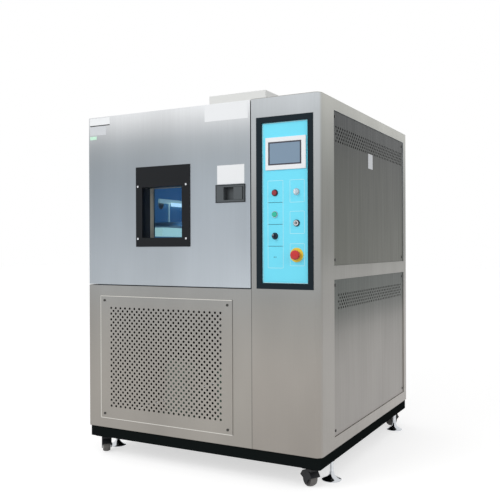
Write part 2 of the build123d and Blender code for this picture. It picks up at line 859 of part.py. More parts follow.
def evaporator():
    """Finned coil on the floor of the air duct, with its two header tubes."""
    y0 = baffle_y + sheet + coil_gap
    pack = finned_block(coil_left, coil_width, y0, coil_depth, space_bottom, coil_height, coil_fins)
    header_y = y0 + coil_depth / 2
    solids = [pack]
    for x in (coil_left - coil_tube_radius, coil_left + coil_width + coil_tube_radius):
        solids.append(rod_z(x, header_y, space_bottom, space_bottom + coil_height, coil_tube_radius))
    return solids


def heater():
    """Heater rods across the air duct, held by two brackets on the liner's side walls."""
    y = baffle_y + sheet + coil_gap + coil_depth / 2
    z0 = space_bottom + coil_height + heater_above_coil
    solids = []
    for x, side in ((space_left, 1), (space_right, -1)):
        solids.append(block(*sorted((x, x + side * heater_bracket)), y - coil_depth / 2, y + coil_depth / 2,
                            z0 - heater_pitch / 2, z0 + (heater_rods - 0.5) * heater_pitch))
    for i in range(heater_rods):
        solids.append(rod_x(space_left + heater_bracket, space_right - heater_bracket, y,
                            z0 + i * heater_pitch, heater_radius))
    return solids


def compressors():
    """Two welded hermetic compressors on their foot plates."""
    solids = []
    for place in compressor_places:
        x = left + place * (column_left - left)
        y = front + compressor_front
        z0 = plinth_top + compressor_foot_height
        z1 = plinth_top + compressor_height
        body = drum([(compressor_radius - compressor_bevel, z0), (compressor_radius, z0 + compressor_bevel),
                     (compressor_radius, z1 - compressor_dome), (compressor_top_radius, z1)])
        half = compressor_radius + compressor_foot_side
        foot = block(x - half, x + half, y - compressor_foot_depth / 2, y + compressor_foot_depth / 2,
                     plinth_top, z0)
        solids.append(Pos(x, y, 0) * body + foot)
    return solids


def condenser():
    """Condenser coil, its fan shroud, and the fan motor on its cross arm."""
    x0 = condenser_x - condenser_width / 2
    coil = finned_block(x0, condenser_width, condenser_front, condenser_depth, plinth_top,
                        condenser_height, condenser_fins)
    shroud = block(x0, x0 + condenser_width, shroud_front, condenser_front, plinth_top,
                   plinth_top + condenser_height)
    shroud -= block(x0 + sheet, x0 + condenser_width - sheet, shroud_front + sheet, condenser_front,
                    plinth_top + sheet, plinth_top + condenser_height - sheet)
    shroud -= rod_y(condenser_x, shroud_front, shroud_front + sheet, condenser_z,
                    condenser_fan_radius + condenser_fan_gap, drum_sides)
    motor_back = condenser_motor_back
    motor = rod_y(condenser_x, motor_back - condenser_motor_depth, motor_back, condenser_z,
                  condenser_motor_radius)
    motor -= rod_y(condenser_x, motor_back - condenser_shaft_depth, motor_back, condenser_z,
                   bore(shaft_radius))
    reach = condenser_fan_radius + 2 * condenser_arm
    z0 = condenser_z - condenser_arm / 2
    z1 = condenser_z + condenser_arm / 2
    for side in (-1, 1):
        x1 = condenser_x + side * reach
        inner = condenser_x + side * condenser_arm_root
        motor += block(*sorted((inner, x1)), motor_back - condenser_arm, motor_back, z0, z1)
        motor += block(*sorted((x1 - side * condenser_arm, x1)), motor_back, shroud_front, z0, z1)
    return [coil, shroud, motor]


def condenser_fan():
    """Axial fan inside the shroud, on its short shaft in the motor."""
    y0 = shroud_front + sheet + condenser_fan_gap
    hub = rod_y(condenser_x, y0, y0 + condenser_hub_depth, condenser_z, condenser_hub_radius)
    root = condenser_blade_root
    for i in range(condenser_fan_blades):
        blade = Rot(0, 0, condenser_fan_pitch) * Box(
            condenser_blade_thickness, condenser_blade_depth, condenser_fan_radius - root)
        blade = Pos(0, 0, (condenser_fan_radius + root) / 2) * blade
        turn = Rot(0, 360 / condenser_fan_blades * i, 0)
        hub += Pos(condenser_x, y0 + condenser_hub_depth / 2, condenser_z) * turn * blade
    hub += rod_y(condenser_x, condenser_motor_back - condenser_shaft_depth + motor_shaft_end_gap, y0,
                 condenser_z, shaft_radius)
    return hub


def electrical_gear():
    """Mounting plate on stand-offs at the partition, with rows of devices."""
    x0 = column_left + sheet + gear_plate_standoff
    y0 = front + gear_plate_front
    y1 = back - gear_plate_rear_gap
    z0 = plinth_top + gear_plate_bottom
    z1 = top - gear_plate_top_gap
    solids = [block(x0, x0 + gear_plate_thickness, y0, y1, z0, z1)]
    for y in (y0, y1 - gear_plate_standoff):
        solids.append(block(x0 - gear_plate_standoff, x0, y, y + gear_plate_standoff, z0, z1))
    face = x0 + gear_plate_thickness
    row_pitch = (z1 - z0 - gear_row_space) / gear_rows
    for row in range(gear_rows):
        y = y0 + gear_plate_standoff
        z = z0 + gear_plate_standoff + row * row_pitch
        for width, height in gear_devices:
            solids.append(block(face, face + gear_device_depth, y, y + width, z, z + height))
            y += width + gear_plate_standoff
    return solids


def door_skin():
    """Outer pan of the door."""
    pan = block(left, door_right, front, door_back, door_bottom, door_top)
    pan -= block(left + sheet, door_right - sheet, front + sheet, door_back,
                 door_bottom + sheet, door_top - sheet)
    return pan - window_tunnel_outside(front, front + sheet) - latch_cup_outside(front, front + sheet)


def window_tunnel_outside(y0, y1):
    """Outer form of the window tunnel between two depths."""
    return block(glass_left - tunnel_wall, glass_left + glass_width + tunnel_wall, y0, y1,
                 glass_z - tunnel_wall, glass_z + glass_height + tunnel_wall)


def latch_cup_outside(y0, y1):
    """Outer form of the latch's cup between two depths."""
    return block(latch_left + latch_edge_left - latch_wall,
                 latch_left + latch_width - latch_edge_right + latch_wall, y0, y1,
                 latch_z + latch_edge_end - latch_wall, latch_z + latch_height - latch_edge_end + latch_wall)


def lock_pocket(y0, y1):
    """Space for the hook's swing inside the door."""
    return block(latch_pin_x - lock_pocket_half_width, latch_pin_x + lock_pocket_half_width, y0, y1,
                 latch_z + latch_height - latch_edge_end + latch_wall, hook_middle + lock_pocket_height / 2)


def striker_hole(y0, y1):
    """Opening for the striker in the door's inner panel."""
    half = striker_hole_gap + striker_bar_radius
    return block(striker_x - half, striker_x + half, y0, y1, hook_middle - lock_pocket_height / 2,
                 hook_middle + lock_pocket_height / 2)


def door_liner():
    """Inner panel of the door with the plug that enters the test space."""
    panel = block(left + sheet, door_right - sheet, door_back - sheet, door_back,
                  door_bottom + sheet, door_top - sheet)
    px0 = space_left + plug_clearance
    px1 = space_right - plug_clearance
    pz0 = space_bottom + plug_clearance
    pz1 = space_top - plug_clearance
    plug = block(px0, px1, door_back, plug_back, pz0, pz1)
    panel += plug
    panel -= block(px0 + sheet, px1 - sheet, door_back - sheet, plug_back - sheet, pz0 + sheet, pz1 - sheet)
    return panel - window_tunnel_outside(front, plug_back) - striker_hole(front, door_back)


def door_insulation():
    """Insulation inside the door and its plug."""
    fill = block(left + sheet, door_right - sheet, front + sheet, door_back - sheet,
                 door_bottom + sheet, door_top - sheet)
    inset = plug_clearance + sheet
    fill += block(space_left + inset, space_right - inset, door_back - sheet, plug_back - sheet,
                  space_bottom + inset, space_top - inset)
    fill -= window_tunnel_outside(front, plug_back)
    cup_back = front + latch_cup_depth + latch_wall
    fill -= latch_cup_outside(front, cup_back)
    return fill - lock_pocket(front, door_back)


def door_gasket():
    """Seal round the plug, just clear of the flange when the door is shut."""
    x0 = space_left - gasket_inset
    x1 = space_right + gasket_inset
    z0 = space_bottom - gasket_inset
    z1 = space_top + gasket_inset
    y1 = flange_front - gasket_clearance
    ring = block(x0, x1, door_back, y1, z0, z1)
    return ring - block(x0 + gasket_width, x1 - gasket_width, door_back, y1,
                        z0 + gasket_width, z1 - gasket_width)


def window_frame():
    """Black window plate with its tunnel through the door."""
    plate = block(window_left, window_left + window_width, front - window_plate, front,
                  window_z, window_z + window_height)
    plate += window_tunnel_outside(front, plug_back)
    return plate - block(glass_left, glass_left + glass_width, front - window_plate, plug_back,
                         glass_z, glass_z + glass_height)


def window_glass():
    """Outer and inner panes in the tunnel."""
    panes = []
    for y0 in (front + pane_recess, plug_back - pane_recess - pane_thickness):
        panes.append(block(glass_left, glass_left + glass_width, y0, y0 + pane_thickness,
                           glass_z, glass_z + glass_height))
    return panes


def window_screws():
    """Four screws of the window plate."""
    solids = []
    for x in (window_left + window_screw_side, window_left + window_width - window_screw_side):
        for z in (glass_z - window_screw_height, glass_z + glass_height + window_screw_height):
            solids.append(screw(x, front - window_plate, z, Rot(90, 0, 0)))
    return solids


def latch_housing():
    """Recessed latch housing: front plate, cup with finger pocket, and pin bores."""
    plate = block(latch_left, latch_left + latch_width, front - latch_plate, front,
                  latch_z, latch_z + latch_height)
    cup_back = front + latch_cup_depth
    plate += latch_cup_outside(front, cup_back + latch_wall)
    plate -= block(latch_left + latch_edge_left, latch_left + latch_width - latch_edge_right,
                   front - latch_plate, cup_back, latch_z + latch_edge_end,
                   latch_z + latch_height - latch_edge_end)
    return plate - rod_z(latch_pin_x, latch_pin_y, latch_z + latch_edge_end - latch_wall,
                         latch_z + latch_height - latch_edge_end + latch_wall, bore(latch_pin_radius))


def latch_paddle():
    """Pull paddle with its finger lip, vertical pin, and the hook above the cup."""
    z0 = latch_z + latch_edge_end + paddle_gap
    z1 = latch_z + latch_height - latch_edge_end - paddle_gap
    y0 = front - latch_plate - paddle_proud
    x0 = latch_pin_x - paddle_width
    paddle = block(x0, latch_pin_x, y0, y0 + paddle_thickness, z0, z1)
    paddle += block(x0, x0 + paddle_thickness, y0, y0 + paddle_lip, z0, z1)
    paddle += block(latch_pin_x - paddle_barrel_radius, latch_pin_x, y0, latch_pin_y, z0, z1)
    paddle += rod_z(latch_pin_x, latch_pin_y, z0, z1, paddle_barrel_radius)
    pin_bottom = latch_z + latch_edge_end - latch_wall
    paddle += rod_z(latch_pin_x, latch_pin_y, pin_bottom, hook_z + hook_thickness, latch_pin_radius)
    hook = block(latch_pin_x - hook_arm / 2, latch_pin_x + hook_arm / 2, latch_pin_y,
                 latch_pin_y + hook_reach, hook_z, hook_z + hook_thickness)
    hook += block(latch_pin_x, latch_pin_x + hook_arm / 2 + hook_nose, latch_pin_y + hook_reach - hook_arm,
                  latch_pin_y + hook_reach, hook_z, hook_z + hook_thickness)
    return paddle + hook


def latch_striker():
    """Staple on the flange that the hook closes on."""
    half = lock_pocket_height / 2 - striker_hole_gap - striker_leg
    staple = rod_z(striker_x, striker_y, hook_middle - half, hook_middle + half, striker_bar_radius)
    for z0 in (hook_middle - half - striker_leg, hook_middle + half):
        staple += block(striker_x - striker_bar_radius, striker_x + striker_bar_radius,
                        striker_y - striker_bar_radius, flange_front, z0, z0 + striker_leg)
    return staple


def hinge_heights():
    """Lower end of each hinge."""
    return [door_bottom + hinge_end_offset, door_top - hinge_end_offset - hinge_height]


def hinge_door_leaves():
    """Upper half of each hinge, fixed on the door's left edge."""
    leaves = []
    for z in hinge_heights():
        middle = z + hinge_height / 2 + hinge_gap
        z1 = z + hinge_height
        leaf = block(left - hinge_leaf_thickness, left, hinge_y - hinge_leaf_reach, hinge_y, middle, z1)
        leaf -= block(left - hinge_leaf_thickness, left, door_back, hinge_y, middle, z1)
        link = block(hinge_x, left - hinge_leaf_thickness + hinge_link_bite,
                     door_back - hinge_knuckle_radius, door_back, middle, z1)
        knuckle = rod_z(hinge_x, hinge_y, middle, z1, hinge_knuckle_radius)
        pin_hole = rod_z(hinge_x, hinge_y, middle, middle + hinge_pin_length, bore(hinge_pin_radius))
        leaves.append(leaf + link + knuckle - pin_hole)
    return leaves


def hinge_cabinet_leaves():
    """Lower half of each hinge with its pin, fixed on the cabinet's left wall."""
    leaves = []
    for z in hinge_heights():
        middle = z + hinge_height / 2
        leaf = block(left - hinge_leaf_thickness, left, flange_front, hinge_y + hinge_leaf_reach, z, middle)
        link = block(hinge_x, left - hinge_leaf_thickness + hinge_link_bite, flange_front,
                     flange_front + hinge_knuckle_radius, z, middle)
        knuckle = rod_z(hinge_x, hinge_y, z, middle, hinge_knuckle_radius)
        pin = rod_z(hinge_x, hinge_y, middle, middle + hinge_pin_length, hinge_pin_radius)
        leaves.append(leaf + link + knuckle + pin)
    return leaves


def panel_surround():
    """Black frame round the control plate, with its tray behind the column's sheet."""
    frame = block(panel_x, panel_x + panel_width, front - panel_proud, front,
                  panel_z, panel_z + panel_height)
    frame += block(plate_x - panel_plate, plate_x + plate_width + panel_plate, front, front + panel_back,
                   plate_z - panel_plate, plate_z + plate_height + panel_plate)
    return frame - block(plate_x, plate_x + plate_width, front - panel_proud, front + panel_back,
                         plate_z, plate_z + plate_height)


def operator_places():
    """Centre of each operator on the control plate, its row a share of the height under the screen."""
    places = {}
    for x, rows in ((plate_x + operator_left_margin, operator_left_rows),
                    (plate_x + plate_width - operator_right_margin, operator_right_rows)):
        for name, share in rows.items():
            places[name] = (x, plate_z + share * (screen_z - plate_z))
    return places


def control_panel():
    """Control plate, and the contact blocks behind its operators."""
    plate = block(plate_x, plate_x + plate_width, panel_face, panel_face + panel_plate,
                  plate_z, plate_z + plate_height)
    solids = [plate]
    half = contact_block_width / 2
    for x, z in operator_places().values():
        solids.append(block(x - half, x + half, panel_face + panel_plate,
                            panel_face + panel_plate + contact_block_depth, z - half, z + half))
    return solids


def screen_bezel():
    """White surround of the touch screen."""
    frame = block(screen_x, screen_x + screen_width, panel_face - screen_depth, panel_face,
                  screen_z, screen_z + screen_height)
    return frame - screen_opening(panel_face - screen_depth)


def screen_opening(y0):
    """Opening of the surround from a depth back to the control plate."""
    return block(screen_x + screen_glass_left, screen_x + screen_width - screen_glass_right, y0, panel_face,
                 screen_z + screen_glass_bottom, screen_z + screen_height - screen_glass_top)


def touch_screen():
    """Screen glass, sunk a little in its surround."""
    return screen_opening(panel_face - screen_depth + screen_glass_sunk)


def operator_collars():
    """Metal collars of the buttons, selectors and key switch."""
    collars = []
    for name, (x, z) in operator_places().items():
        if name != "estop_button":
            ring = rod_y(x, collar_front, panel_face, z, collar_radius, cap_sides)
            collars.append(ring - rod_y(x, collar_front, panel_face, z, bore(cap_radius, cap_sides), cap_sides))
    return collars


def push_button(name):
    """Round cap that runs in its collar."""
    x, z = operator_places()[name]
    return rod_y(x, collar_front - cap_proud, collar_front + cap_in_collar, z, cap_radius, cap_sides)


def selector(name):
    """Round base in its collar with a raised grip across it."""
    x, z = operator_places()[name]
    base = rod_y(x, collar_front - selector_base_proud, collar_front + cap_in_collar, z, cap_radius, cap_sides)
    return base + block(x - selector_grip / 2, x + selector_grip / 2, collar_front - selector_proud,
                        collar_front - selector_base_proud, z - selector_grip_length / 2,
                        z + selector_grip_length / 2)


def key_switch():
    """Lock cylinder with its key slot."""
    x, z = operator_places()["key_switch"]
    barrel = rod_y(x, collar_front - key_switch_proud, collar_front + cap_in_collar, z, cap_radius, cap_sides)
    return barrel - block(x - key_slot / 2, x + key_slot / 2, collar_front - key_switch_proud,
                          collar_front - key_slot, z - key_slot_length / 2, z + key_slot_length / 2)


def estop_disc():
    """Yellow disc under the emergency stop, with the fixed collar that guides the head."""
    x, z = operator_places()["estop_button"]
    disc_front = panel_face - estop_disc_thickness
    disc = rod_y(x, disc_front, panel_face, z, estop_disc_radius, drum_sides)
    return disc + rod_y(x, disc_front - estop_collar_length, disc_front, z, estop_collar_radius, cap_sides)


def estop_button():
    """Mushroom head with the recess that slides on the collar."""
    x, z = operator_places()["estop_button"]
    head = drum([(estop_head_radius, 0), (estop_head_radius, estop_head_height - estop_head_bevel),
                 (estop_head_top_radius, estop_head_height)])
    head -= rod_z(0, 0, 0, estop_recess, bore(estop_collar_radius, cap_sides), cap_sides)
    return Pos(x, panel_face - estop_disc_thickness - estop_gap, z) * Rot(90, 0, 0) * head


def group(solids):
    """One node of one or several separate solids."""
    return solids if not isinstance(solids, list) else Compound(children=solids)


def all_nodes():
    """Every node by name."""
    nodes = {
        "base_frame": base_frame(),
        "fasteners": fasteners(),
        "chassis": chassis(),
        "cabinet_shell": cabinet_shell(),
        "control_column": control_column(),
        "front_frame": front_frame(),
        "grille_panel": grille_panel(),
        "side_covers": side_covers(),
        "back_panel": back_panel(),
        "motor_cover": motor_cover(),
        "inner_liner": inner_liner(),
        "insulation": insulation(),
        "cable_port": cable_port(),
        "air_baffle": air_baffle(),
        "shelf_rails": shelf_rails(),
        "shelf": shelf(),
        "circulation_fan": circulation_fan(),
        "fan_motor": fan_motor(),
        "evaporator": evaporator(),
        "heater": heater(),
        "compressors": compressors(),
        "condenser": condenser(),
        "condenser_fan": condenser_fan(),
        "electrical_gear": electrical_gear(),
        "door_skin": door_skin(),
        "door_liner": door_liner(),
        "door_insulation": door_insulation(),
        "door_gasket": door_gasket(),
        "window_frame": window_frame(),
        "window_glass": window_glass(),
        "window_screws": window_screws(),
        "latch_housing": latch_housing(),
        "latch_paddle": latch_paddle(),
        "latch_striker": latch_striker(),
        "hinge_door_leaves": hinge_door_leaves(),
        "hinge_cabinet_leaves": hinge_cabinet_leaves(),
        "panel_surround": panel_surround(),
        "control_panel": control_panel(),
        "screen_bezel": screen_bezel(),
        "touch_screen": touch_screen(),
        "operator_collars": operator_collars(),
        "red_button": push_button("red_button"),
        "green_button": push_button("green_button"),
        "black_selector": selector("black_selector"),
        "silver_selector": selector("silver_selector"),
        "key_switch": key_switch(),
        "estop_disc": estop_disc(),
        "estop_button": estop_button(),
    }
    for name, _, _, swivel, caster, foot in corner_places():
        nodes["caster_fork_" + name] = caster_fork(caster, swivel)
        nodes["caster_wheel_" + name] = caster_wheel(caster, swivel)
        nodes["levelling_foot_" + name] = levelling_foot(foot)
    return nodes


os.makedirs("parts", exist_ok=True)
for node, solids in all_nodes().items():
    export_step(group(solids), "parts/" + node + ".step")
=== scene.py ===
"""Looks of the floor-standing environmental test chamber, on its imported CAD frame.

Metres, +Z up, +X to the right seen from the front, front towards -Y, origin on the floor.
"""
import json
import math

import bmesh
import bpy
from mathutils import Matrix, Vector

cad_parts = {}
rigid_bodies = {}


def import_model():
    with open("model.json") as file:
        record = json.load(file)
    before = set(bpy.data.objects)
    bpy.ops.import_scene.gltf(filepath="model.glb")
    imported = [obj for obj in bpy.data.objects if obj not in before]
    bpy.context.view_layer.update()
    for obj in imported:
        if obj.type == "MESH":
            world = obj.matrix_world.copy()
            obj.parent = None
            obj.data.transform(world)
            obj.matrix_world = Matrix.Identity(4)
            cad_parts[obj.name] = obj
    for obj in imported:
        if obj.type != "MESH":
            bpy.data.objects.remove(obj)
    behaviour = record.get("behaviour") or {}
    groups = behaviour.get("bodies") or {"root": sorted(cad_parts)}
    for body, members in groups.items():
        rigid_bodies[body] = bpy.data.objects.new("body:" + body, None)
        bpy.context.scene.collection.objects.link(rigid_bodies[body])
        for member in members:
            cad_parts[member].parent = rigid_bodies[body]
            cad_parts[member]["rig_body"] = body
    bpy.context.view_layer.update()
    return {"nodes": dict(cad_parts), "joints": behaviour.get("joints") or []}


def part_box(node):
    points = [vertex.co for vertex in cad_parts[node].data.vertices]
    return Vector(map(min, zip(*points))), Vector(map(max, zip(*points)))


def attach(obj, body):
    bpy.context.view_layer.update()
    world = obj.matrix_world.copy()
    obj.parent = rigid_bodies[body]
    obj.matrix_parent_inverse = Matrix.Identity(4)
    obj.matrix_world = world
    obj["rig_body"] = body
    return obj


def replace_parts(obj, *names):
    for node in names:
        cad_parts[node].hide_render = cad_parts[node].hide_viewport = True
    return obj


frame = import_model()

# Main planes of the cabinet, read from the frame
shell_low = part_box("cabinet_shell")[0]
column_low, column_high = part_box("control_column")
door_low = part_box("door_skin")[0]
LEFT = shell_low.x
RIGHT = column_high.x
FRONT = column_low.y
BODY_BOTTOM = shell_low.z

# Camera: place in metres from the right, front and bottom planes, turns in degrees, lens in mm
CAMERA_RIGHT = 1.0825
CAMERA_FRONT = -2.6382
CAMERA_UP = 0.8618
CAMERA_YAW = 28.076
CAMERA_PITCH = -0.165
CAMERA_ROLL = -0.206
CAMERA_LENS = 50.18

# Perforations: hole radius in metres, sides of a hole, holes along and across each field
HOLE_RADIUS = 0.0056
HOLE_SIDES = 14
GRILLE_COLUMNS = 23
GRILLE_ROWS = 18
UPPER_VENT_COLUMNS = 37
LOWER_VENT_COLUMNS = 35
VENT_ROWS = 3

# Brushed steel: strength of its clouds and streaks, roughness, and stretch of both noises
CLOUD = 0.07
STREAK = 0.025
STEEL_ROUGHNESS = 0.38
CLOUD_STRETCH = (3.2, 3.2, 1.3)
GRAIN_STRETCH = (150, 150, 3)

# How far a normal turns sideways before the painted shade of the sides starts, and where it is full
SIDE_START = 0.75
SIDE_FULL = 1.0

# Meshes: distance for welding points in metres, angles in degrees for flat faces and hard edges
WELD = 0.00001
FLAT_ANGLE = 0.5
BEVEL_ANGLE = 30.0

# Height of the printed lines over the control plate in metres
PRINT_RISE = 0.0003

# Light: strength of the surroundings, tone and glow of the floor paper
STUDIO_STRENGTH = 0.62
PAPER_TONE = 0.55
PAPER_GLOW = 0.62


def from_right(x):
    """Row X of a place measured from the right side face."""
    return RIGHT + x


def from_bottom(z):
    """Row Z of a place measured up from the cabinet's bottom edge."""
    return BODY_BOTTOM + z


# ---------------------------------------------------------------- materials


def linear(red, green, blue):
    """Scene-linear colour of 8-bit screen values."""
    def one(v):
        v /= 255
        return v / 12.92 if v <= 0.04045 else ((v + 0.055) / 1.055) ** 2.4
    return one(red), one(green), one(blue), 1.0


def plain(name, colour, rough=0.5, metal=0.0, coat=0.0, shine=0.3):
    """One even material."""
    made = bpy.data.materials.new(name)
    made.use_nodes = True
    shader = made.node_tree.nodes["Principled BSDF"]
    shader.inputs["Base Color"].default_value = colour
    shader.inputs["Roughness"].default_value = rough
    shader.inputs["Metallic"].default_value = metal
    shader.inputs["Coat Weight"].default_value = coat
    shader.inputs["Specular IOR Level"].default_value = 0.5 if metal else shine
    return made


def noise(tree, stretch, detail, rough=0.5):
    """A noise texture in row-frame metres, stretched by axis."""
    place = tree.nodes.new("ShaderNodeTexCoord")
    mapping = tree.nodes.new("ShaderNodeMapping")
    mapping.inputs["Scale"].default_value = stretch
    texture = tree.nodes.new("ShaderNodeTexNoise")
    texture.inputs["Scale"].default_value = 1.0
    texture.inputs["Detail"].default_value = detail
    texture.inputs["Roughness"].default_value = rough
    tree.links.new(place.outputs["Object"], mapping.inputs["Vector"])
    tree.links.new(mapping.outputs["Vector"], texture.inputs["Vector"])
    return texture.outputs["Fac"]


def spread(tree, value, low, high, start=0.3, stop=0.7):
    """Maps a value to a range."""
    node = tree.nodes.new("ShaderNodeMapRange")
    node.inputs["From Min"].default_value = start
    node.inputs["From Max"].default_value = stop
    node.inputs["To Min"].default_value = low
    node.inputs["To Max"].default_value = high
    tree.links.new(value, node.inputs["Value"])
    return node.outputs["Result"]


def along(tree, axis="Z"):
    """The row-frame coordinate along an axis, upwards where none is given."""
    place = tree.nodes.new("ShaderNodeTexCoord")
    split = tree.nodes.new("ShaderNodeSeparateXYZ")
    tree.links.new(place.outputs["Object"], split.inputs["Vector"])
    return split.outputs[axis]


def mixed(tree, factor, first, second):
    """Mixes two colours or colour outputs."""
    node = tree.nodes.new("ShaderNodeMix")
    node.data_type = "RGBA"
    tree.links.new(factor, node.inputs["Factor"])
    for given, socket in ((first, node.inputs[6]), (second, node.inputs[7])):
        if isinstance(given, tuple):
            socket.default_value = given
        else:
            tree.links.new(given, socket)
    return node.outputs[2]


def ramp(tree, stops):
    """Colour by height from (height above the body's bottom, 8-bit colour) stops."""
    low, high = stops[0][0], stops[-1][0]
    share = spread(tree, along(tree), 0.0, 1.0, from_bottom(low), from_bottom(high))
    node = tree.nodes.new("ShaderNodeValToRGB")
    node.color_ramp.interpolation = "B_SPLINE"
    marks = node.color_ramp.elements
    for index, (level, colour) in enumerate(stops):
        place = (level - low) / (high - low)
        if index < 2:
            marks[index].position = place
        mark = marks[index] if index < 2 else marks.new(place)
        mark.color = linear(*colour)
    tree.links.new(share, node.inputs["Fac"])
    return node.outputs["Color"]


def facing_side(tree):
    """How far a surface turns to the right or left side, 0 to 1."""
    place = tree.nodes.new("ShaderNodeTexCoord")
    split = tree.nodes.new("ShaderNodeSeparateXYZ")
    size = tree.nodes.new("ShaderNodeMath")
    size.operation = "ABSOLUTE"
    tree.links.new(place.outputs["Normal"], split.inputs["Vector"])
    tree.links.new(split.outputs["X"], size.inputs[0])
    return spread(tree, size.outputs[0], 0.0, 1.0, SIDE_START, SIDE_FULL)


def brushed_with_painted_light(name, front, side=None, sweep=None):
    """Brushed stainless steel with painted light: its tone by height and facing is painted shade and
    highlight, with soft clouds and fine upright streaks.

    A sweep (axis, start, stop, low, high) paints light along an axis, brightening the tone.
    """
    made = plain(name, (0.4, 0.4, 0.4, 1), STEEL_ROUGHNESS, 1.0)
    tree = made.node_tree
    shader = tree.nodes["Principled BSDF"]
    # Painted light: tone by height, turned towards the sides' own painted shade by facing
    base = ramp(tree, front)
    if side:
        base = mixed(tree, facing_side(tree), base, ramp(tree, side))
    clouds = noise(tree, CLOUD_STRETCH, 2.0)
    streaks = noise(tree, GRAIN_STRETCH, 3.0, 0.6)
    factors = [spread(tree, value, 1.0 - amount, 1.0 + amount)
               for value, amount in ((clouds, CLOUD), (streaks, STREAK))]
    # Painted light: the sweep brightens the tone along one axis
    if sweep:
        axis, start, stop, low, high = sweep
        factors.append(spread(tree, along(tree, axis), low, high, start, stop))
    for factor in factors:
        node = tree.nodes.new("ShaderNodeVectorMath")
        node.operation = "SCALE"
        tree.links.new(base, node.inputs[0])
        tree.links.new(factor, node.inputs["Scale"])
        base = node.outputs["Vector"]
    tree.links.new(base, shader.inputs["Base Color"])
    roughness = spread(tree, streaks, STEEL_ROUGHNESS - 0.05, STEEL_ROUGHNESS + 0.07)
    tree.links.new(roughness, shader.inputs["Roughness"])
    return made


def glass(name, colour):
    """Clear glass with a tint and weak reflections."""
    made = plain(name, colour, 0.02)
    shader = made.node_tree.nodes["Principled BSDF"]
    shader.inputs["Transmission Weight"].default_value = 1.0
    shader.inputs["IOR"].default_value = 1.12
    return made


# Door steel with painted light: painted shade darkening upwards to the middle, a painted highlight along
# the top, and a painted gradient brightening towards the right
DOOR_STEEL = brushed_with_painted_light("door_steel", [
    (0.69, (176, 183, 189)), (0.90, (166, 173, 180)), (1.12, (158, 166, 173)), (1.26, (156, 163, 169)),
    (1.36, (170, 175, 179)), (1.44, (213, 215, 217)), (1.50, (235, 237, 239))],
    sweep=("X", from_right(-1.15), from_right(-0.40), 0.92, 1.12))
# Lower front steel, nearly even, with a slight painted change of light by height
LOWER_STEEL = brushed_with_painted_light("lower_steel", [
    (0.00, (153, 149, 143)), (0.30, (154, 150, 144)), (0.55, (150, 148, 144)), (0.69, (152, 153, 152))])
# Painted light of the side faces: painted shade through the middle height, lighter at the top, and a
# painted gradient brightening towards the back
SIDE_STOPS = [
    (0.00, (156, 152, 147)), (0.45, (156, 153, 149)), (0.62, (144, 142, 138)), (0.74, (144, 143, 139)),
    (0.85, (124, 124, 119)), (1.15, (122, 123, 118)), (1.38, (158, 159, 154)), (1.50, (182, 182, 176))]
SIDE_SWEEP = ("Y", FRONT + 0.3, FRONT + 1.3, 1.0, 1.14)
# Control column with painted light: lighter towards the top, with its side-facing surfaces given the
# sides' painted shade
COLUMN_STEEL = brushed_with_painted_light("column_steel", [
    (0.00, (148, 143, 137)), (0.35, (156, 151, 145)), (0.60, (148, 147, 143)), (0.70, (146, 147, 146)),
    (1.10, (164, 166, 166)), (1.42, (188, 193, 197)), (1.50, (200, 204, 207))],
    SIDE_STOPS, sweep=SIDE_SWEEP)
SIDE_STEEL = brushed_with_painted_light("side_steel", SIDE_STOPS, sweep=SIDE_SWEEP)
# Side covers with painted shade: far darker than the side strip of the same steel, the lower cover
# darkest near its vents at the top, the upper darkest towards its top
LOWER_COVER_SHADED_STEEL = brushed_with_painted_light("lower_cover_painted_shade", [
    (0.00, (148, 144, 140)), (0.35, (141, 138, 134)), (0.48, (132, 130, 126)), (0.58, (82, 85, 81)),
    (0.73, (68, 74, 70))])
UPPER_COVER_SHADED_STEEL = brushed_with_painted_light("upper_cover_painted_shade", [
    (0.78, (91, 92, 84)), (1.00, (79, 81, 74)), (1.25, (68, 70, 65)), (1.38, (53, 56, 56)),
    (1.45, (57, 60, 60))])
# Painted highlight: lighter steel for the lit edges of the grille's rim
RIM_HIGHLIGHT_STEEL = plain("rim_painted_highlight", linear(222, 220, 214), 0.35, 1.0)
LINER_STEEL = plain("liner_steel", linear(196, 200, 204), 0.3, 1.0)
FRAME_STEEL = plain("frame_steel", linear(150, 151, 152), 0.35, 1.0)
CHROME = plain("chrome", linear(205, 208, 212), 0.12, 1.0)
DARK_SCREW = plain("dark_screw", linear(70, 70, 68), 0.35, 1.0)
GROOVE = plain("groove", linear(38, 38, 38), 0.8)
PLINTH_PAINT = plain("plinth_paint", linear(22, 26, 26), 0.6, shine=0.0)
BLACK_PAINT = plain("black_paint", linear(30, 32, 35), 0.4, shine=0.2)
COVER_PAINT = plain("cover_paint", linear(230, 231, 230), 0.45)
COMPRESSOR_PAINT = plain("compressor_paint", linear(160, 186, 170), 0.5)
MOTOR_PAINT = plain("motor_paint", linear(84, 98, 110), 0.5)
FOAM = plain("foam", linear(222, 208, 160), 0.9)
FIN_METAL = plain("fin_metal", linear(190, 192, 194), 0.4, 1.0)
HEATER_METAL = plain("heater_metal", linear(90, 86, 82), 0.45, 1.0)
FAN_PLASTIC = plain("fan_plastic", linear(35, 35, 36), 0.6)
DEVICE_PLASTIC = plain("device_plastic", linear(150, 152, 150), 0.6)
SEAL_RUBBER = plain("seal_rubber", linear(36, 36, 37), 0.75)
LATCH_PAINT = plain("latch_paint", linear(82, 87, 90), 0.4)
LATCH_DARK = plain("latch_dark", linear(44, 47, 50), 0.5)
PANEL_BLACK = plain("panel_black", linear(38, 46, 52), 0.5, shine=0.0)
PANEL_CYAN = plain("panel_cyan", linear(119, 229, 254), 0.38)
PRINT_WHITE = plain("print_white", linear(198, 243, 252), 0.45)
SCREEN_WHITE = plain("screen_white", linear(238, 240, 243), 0.35)
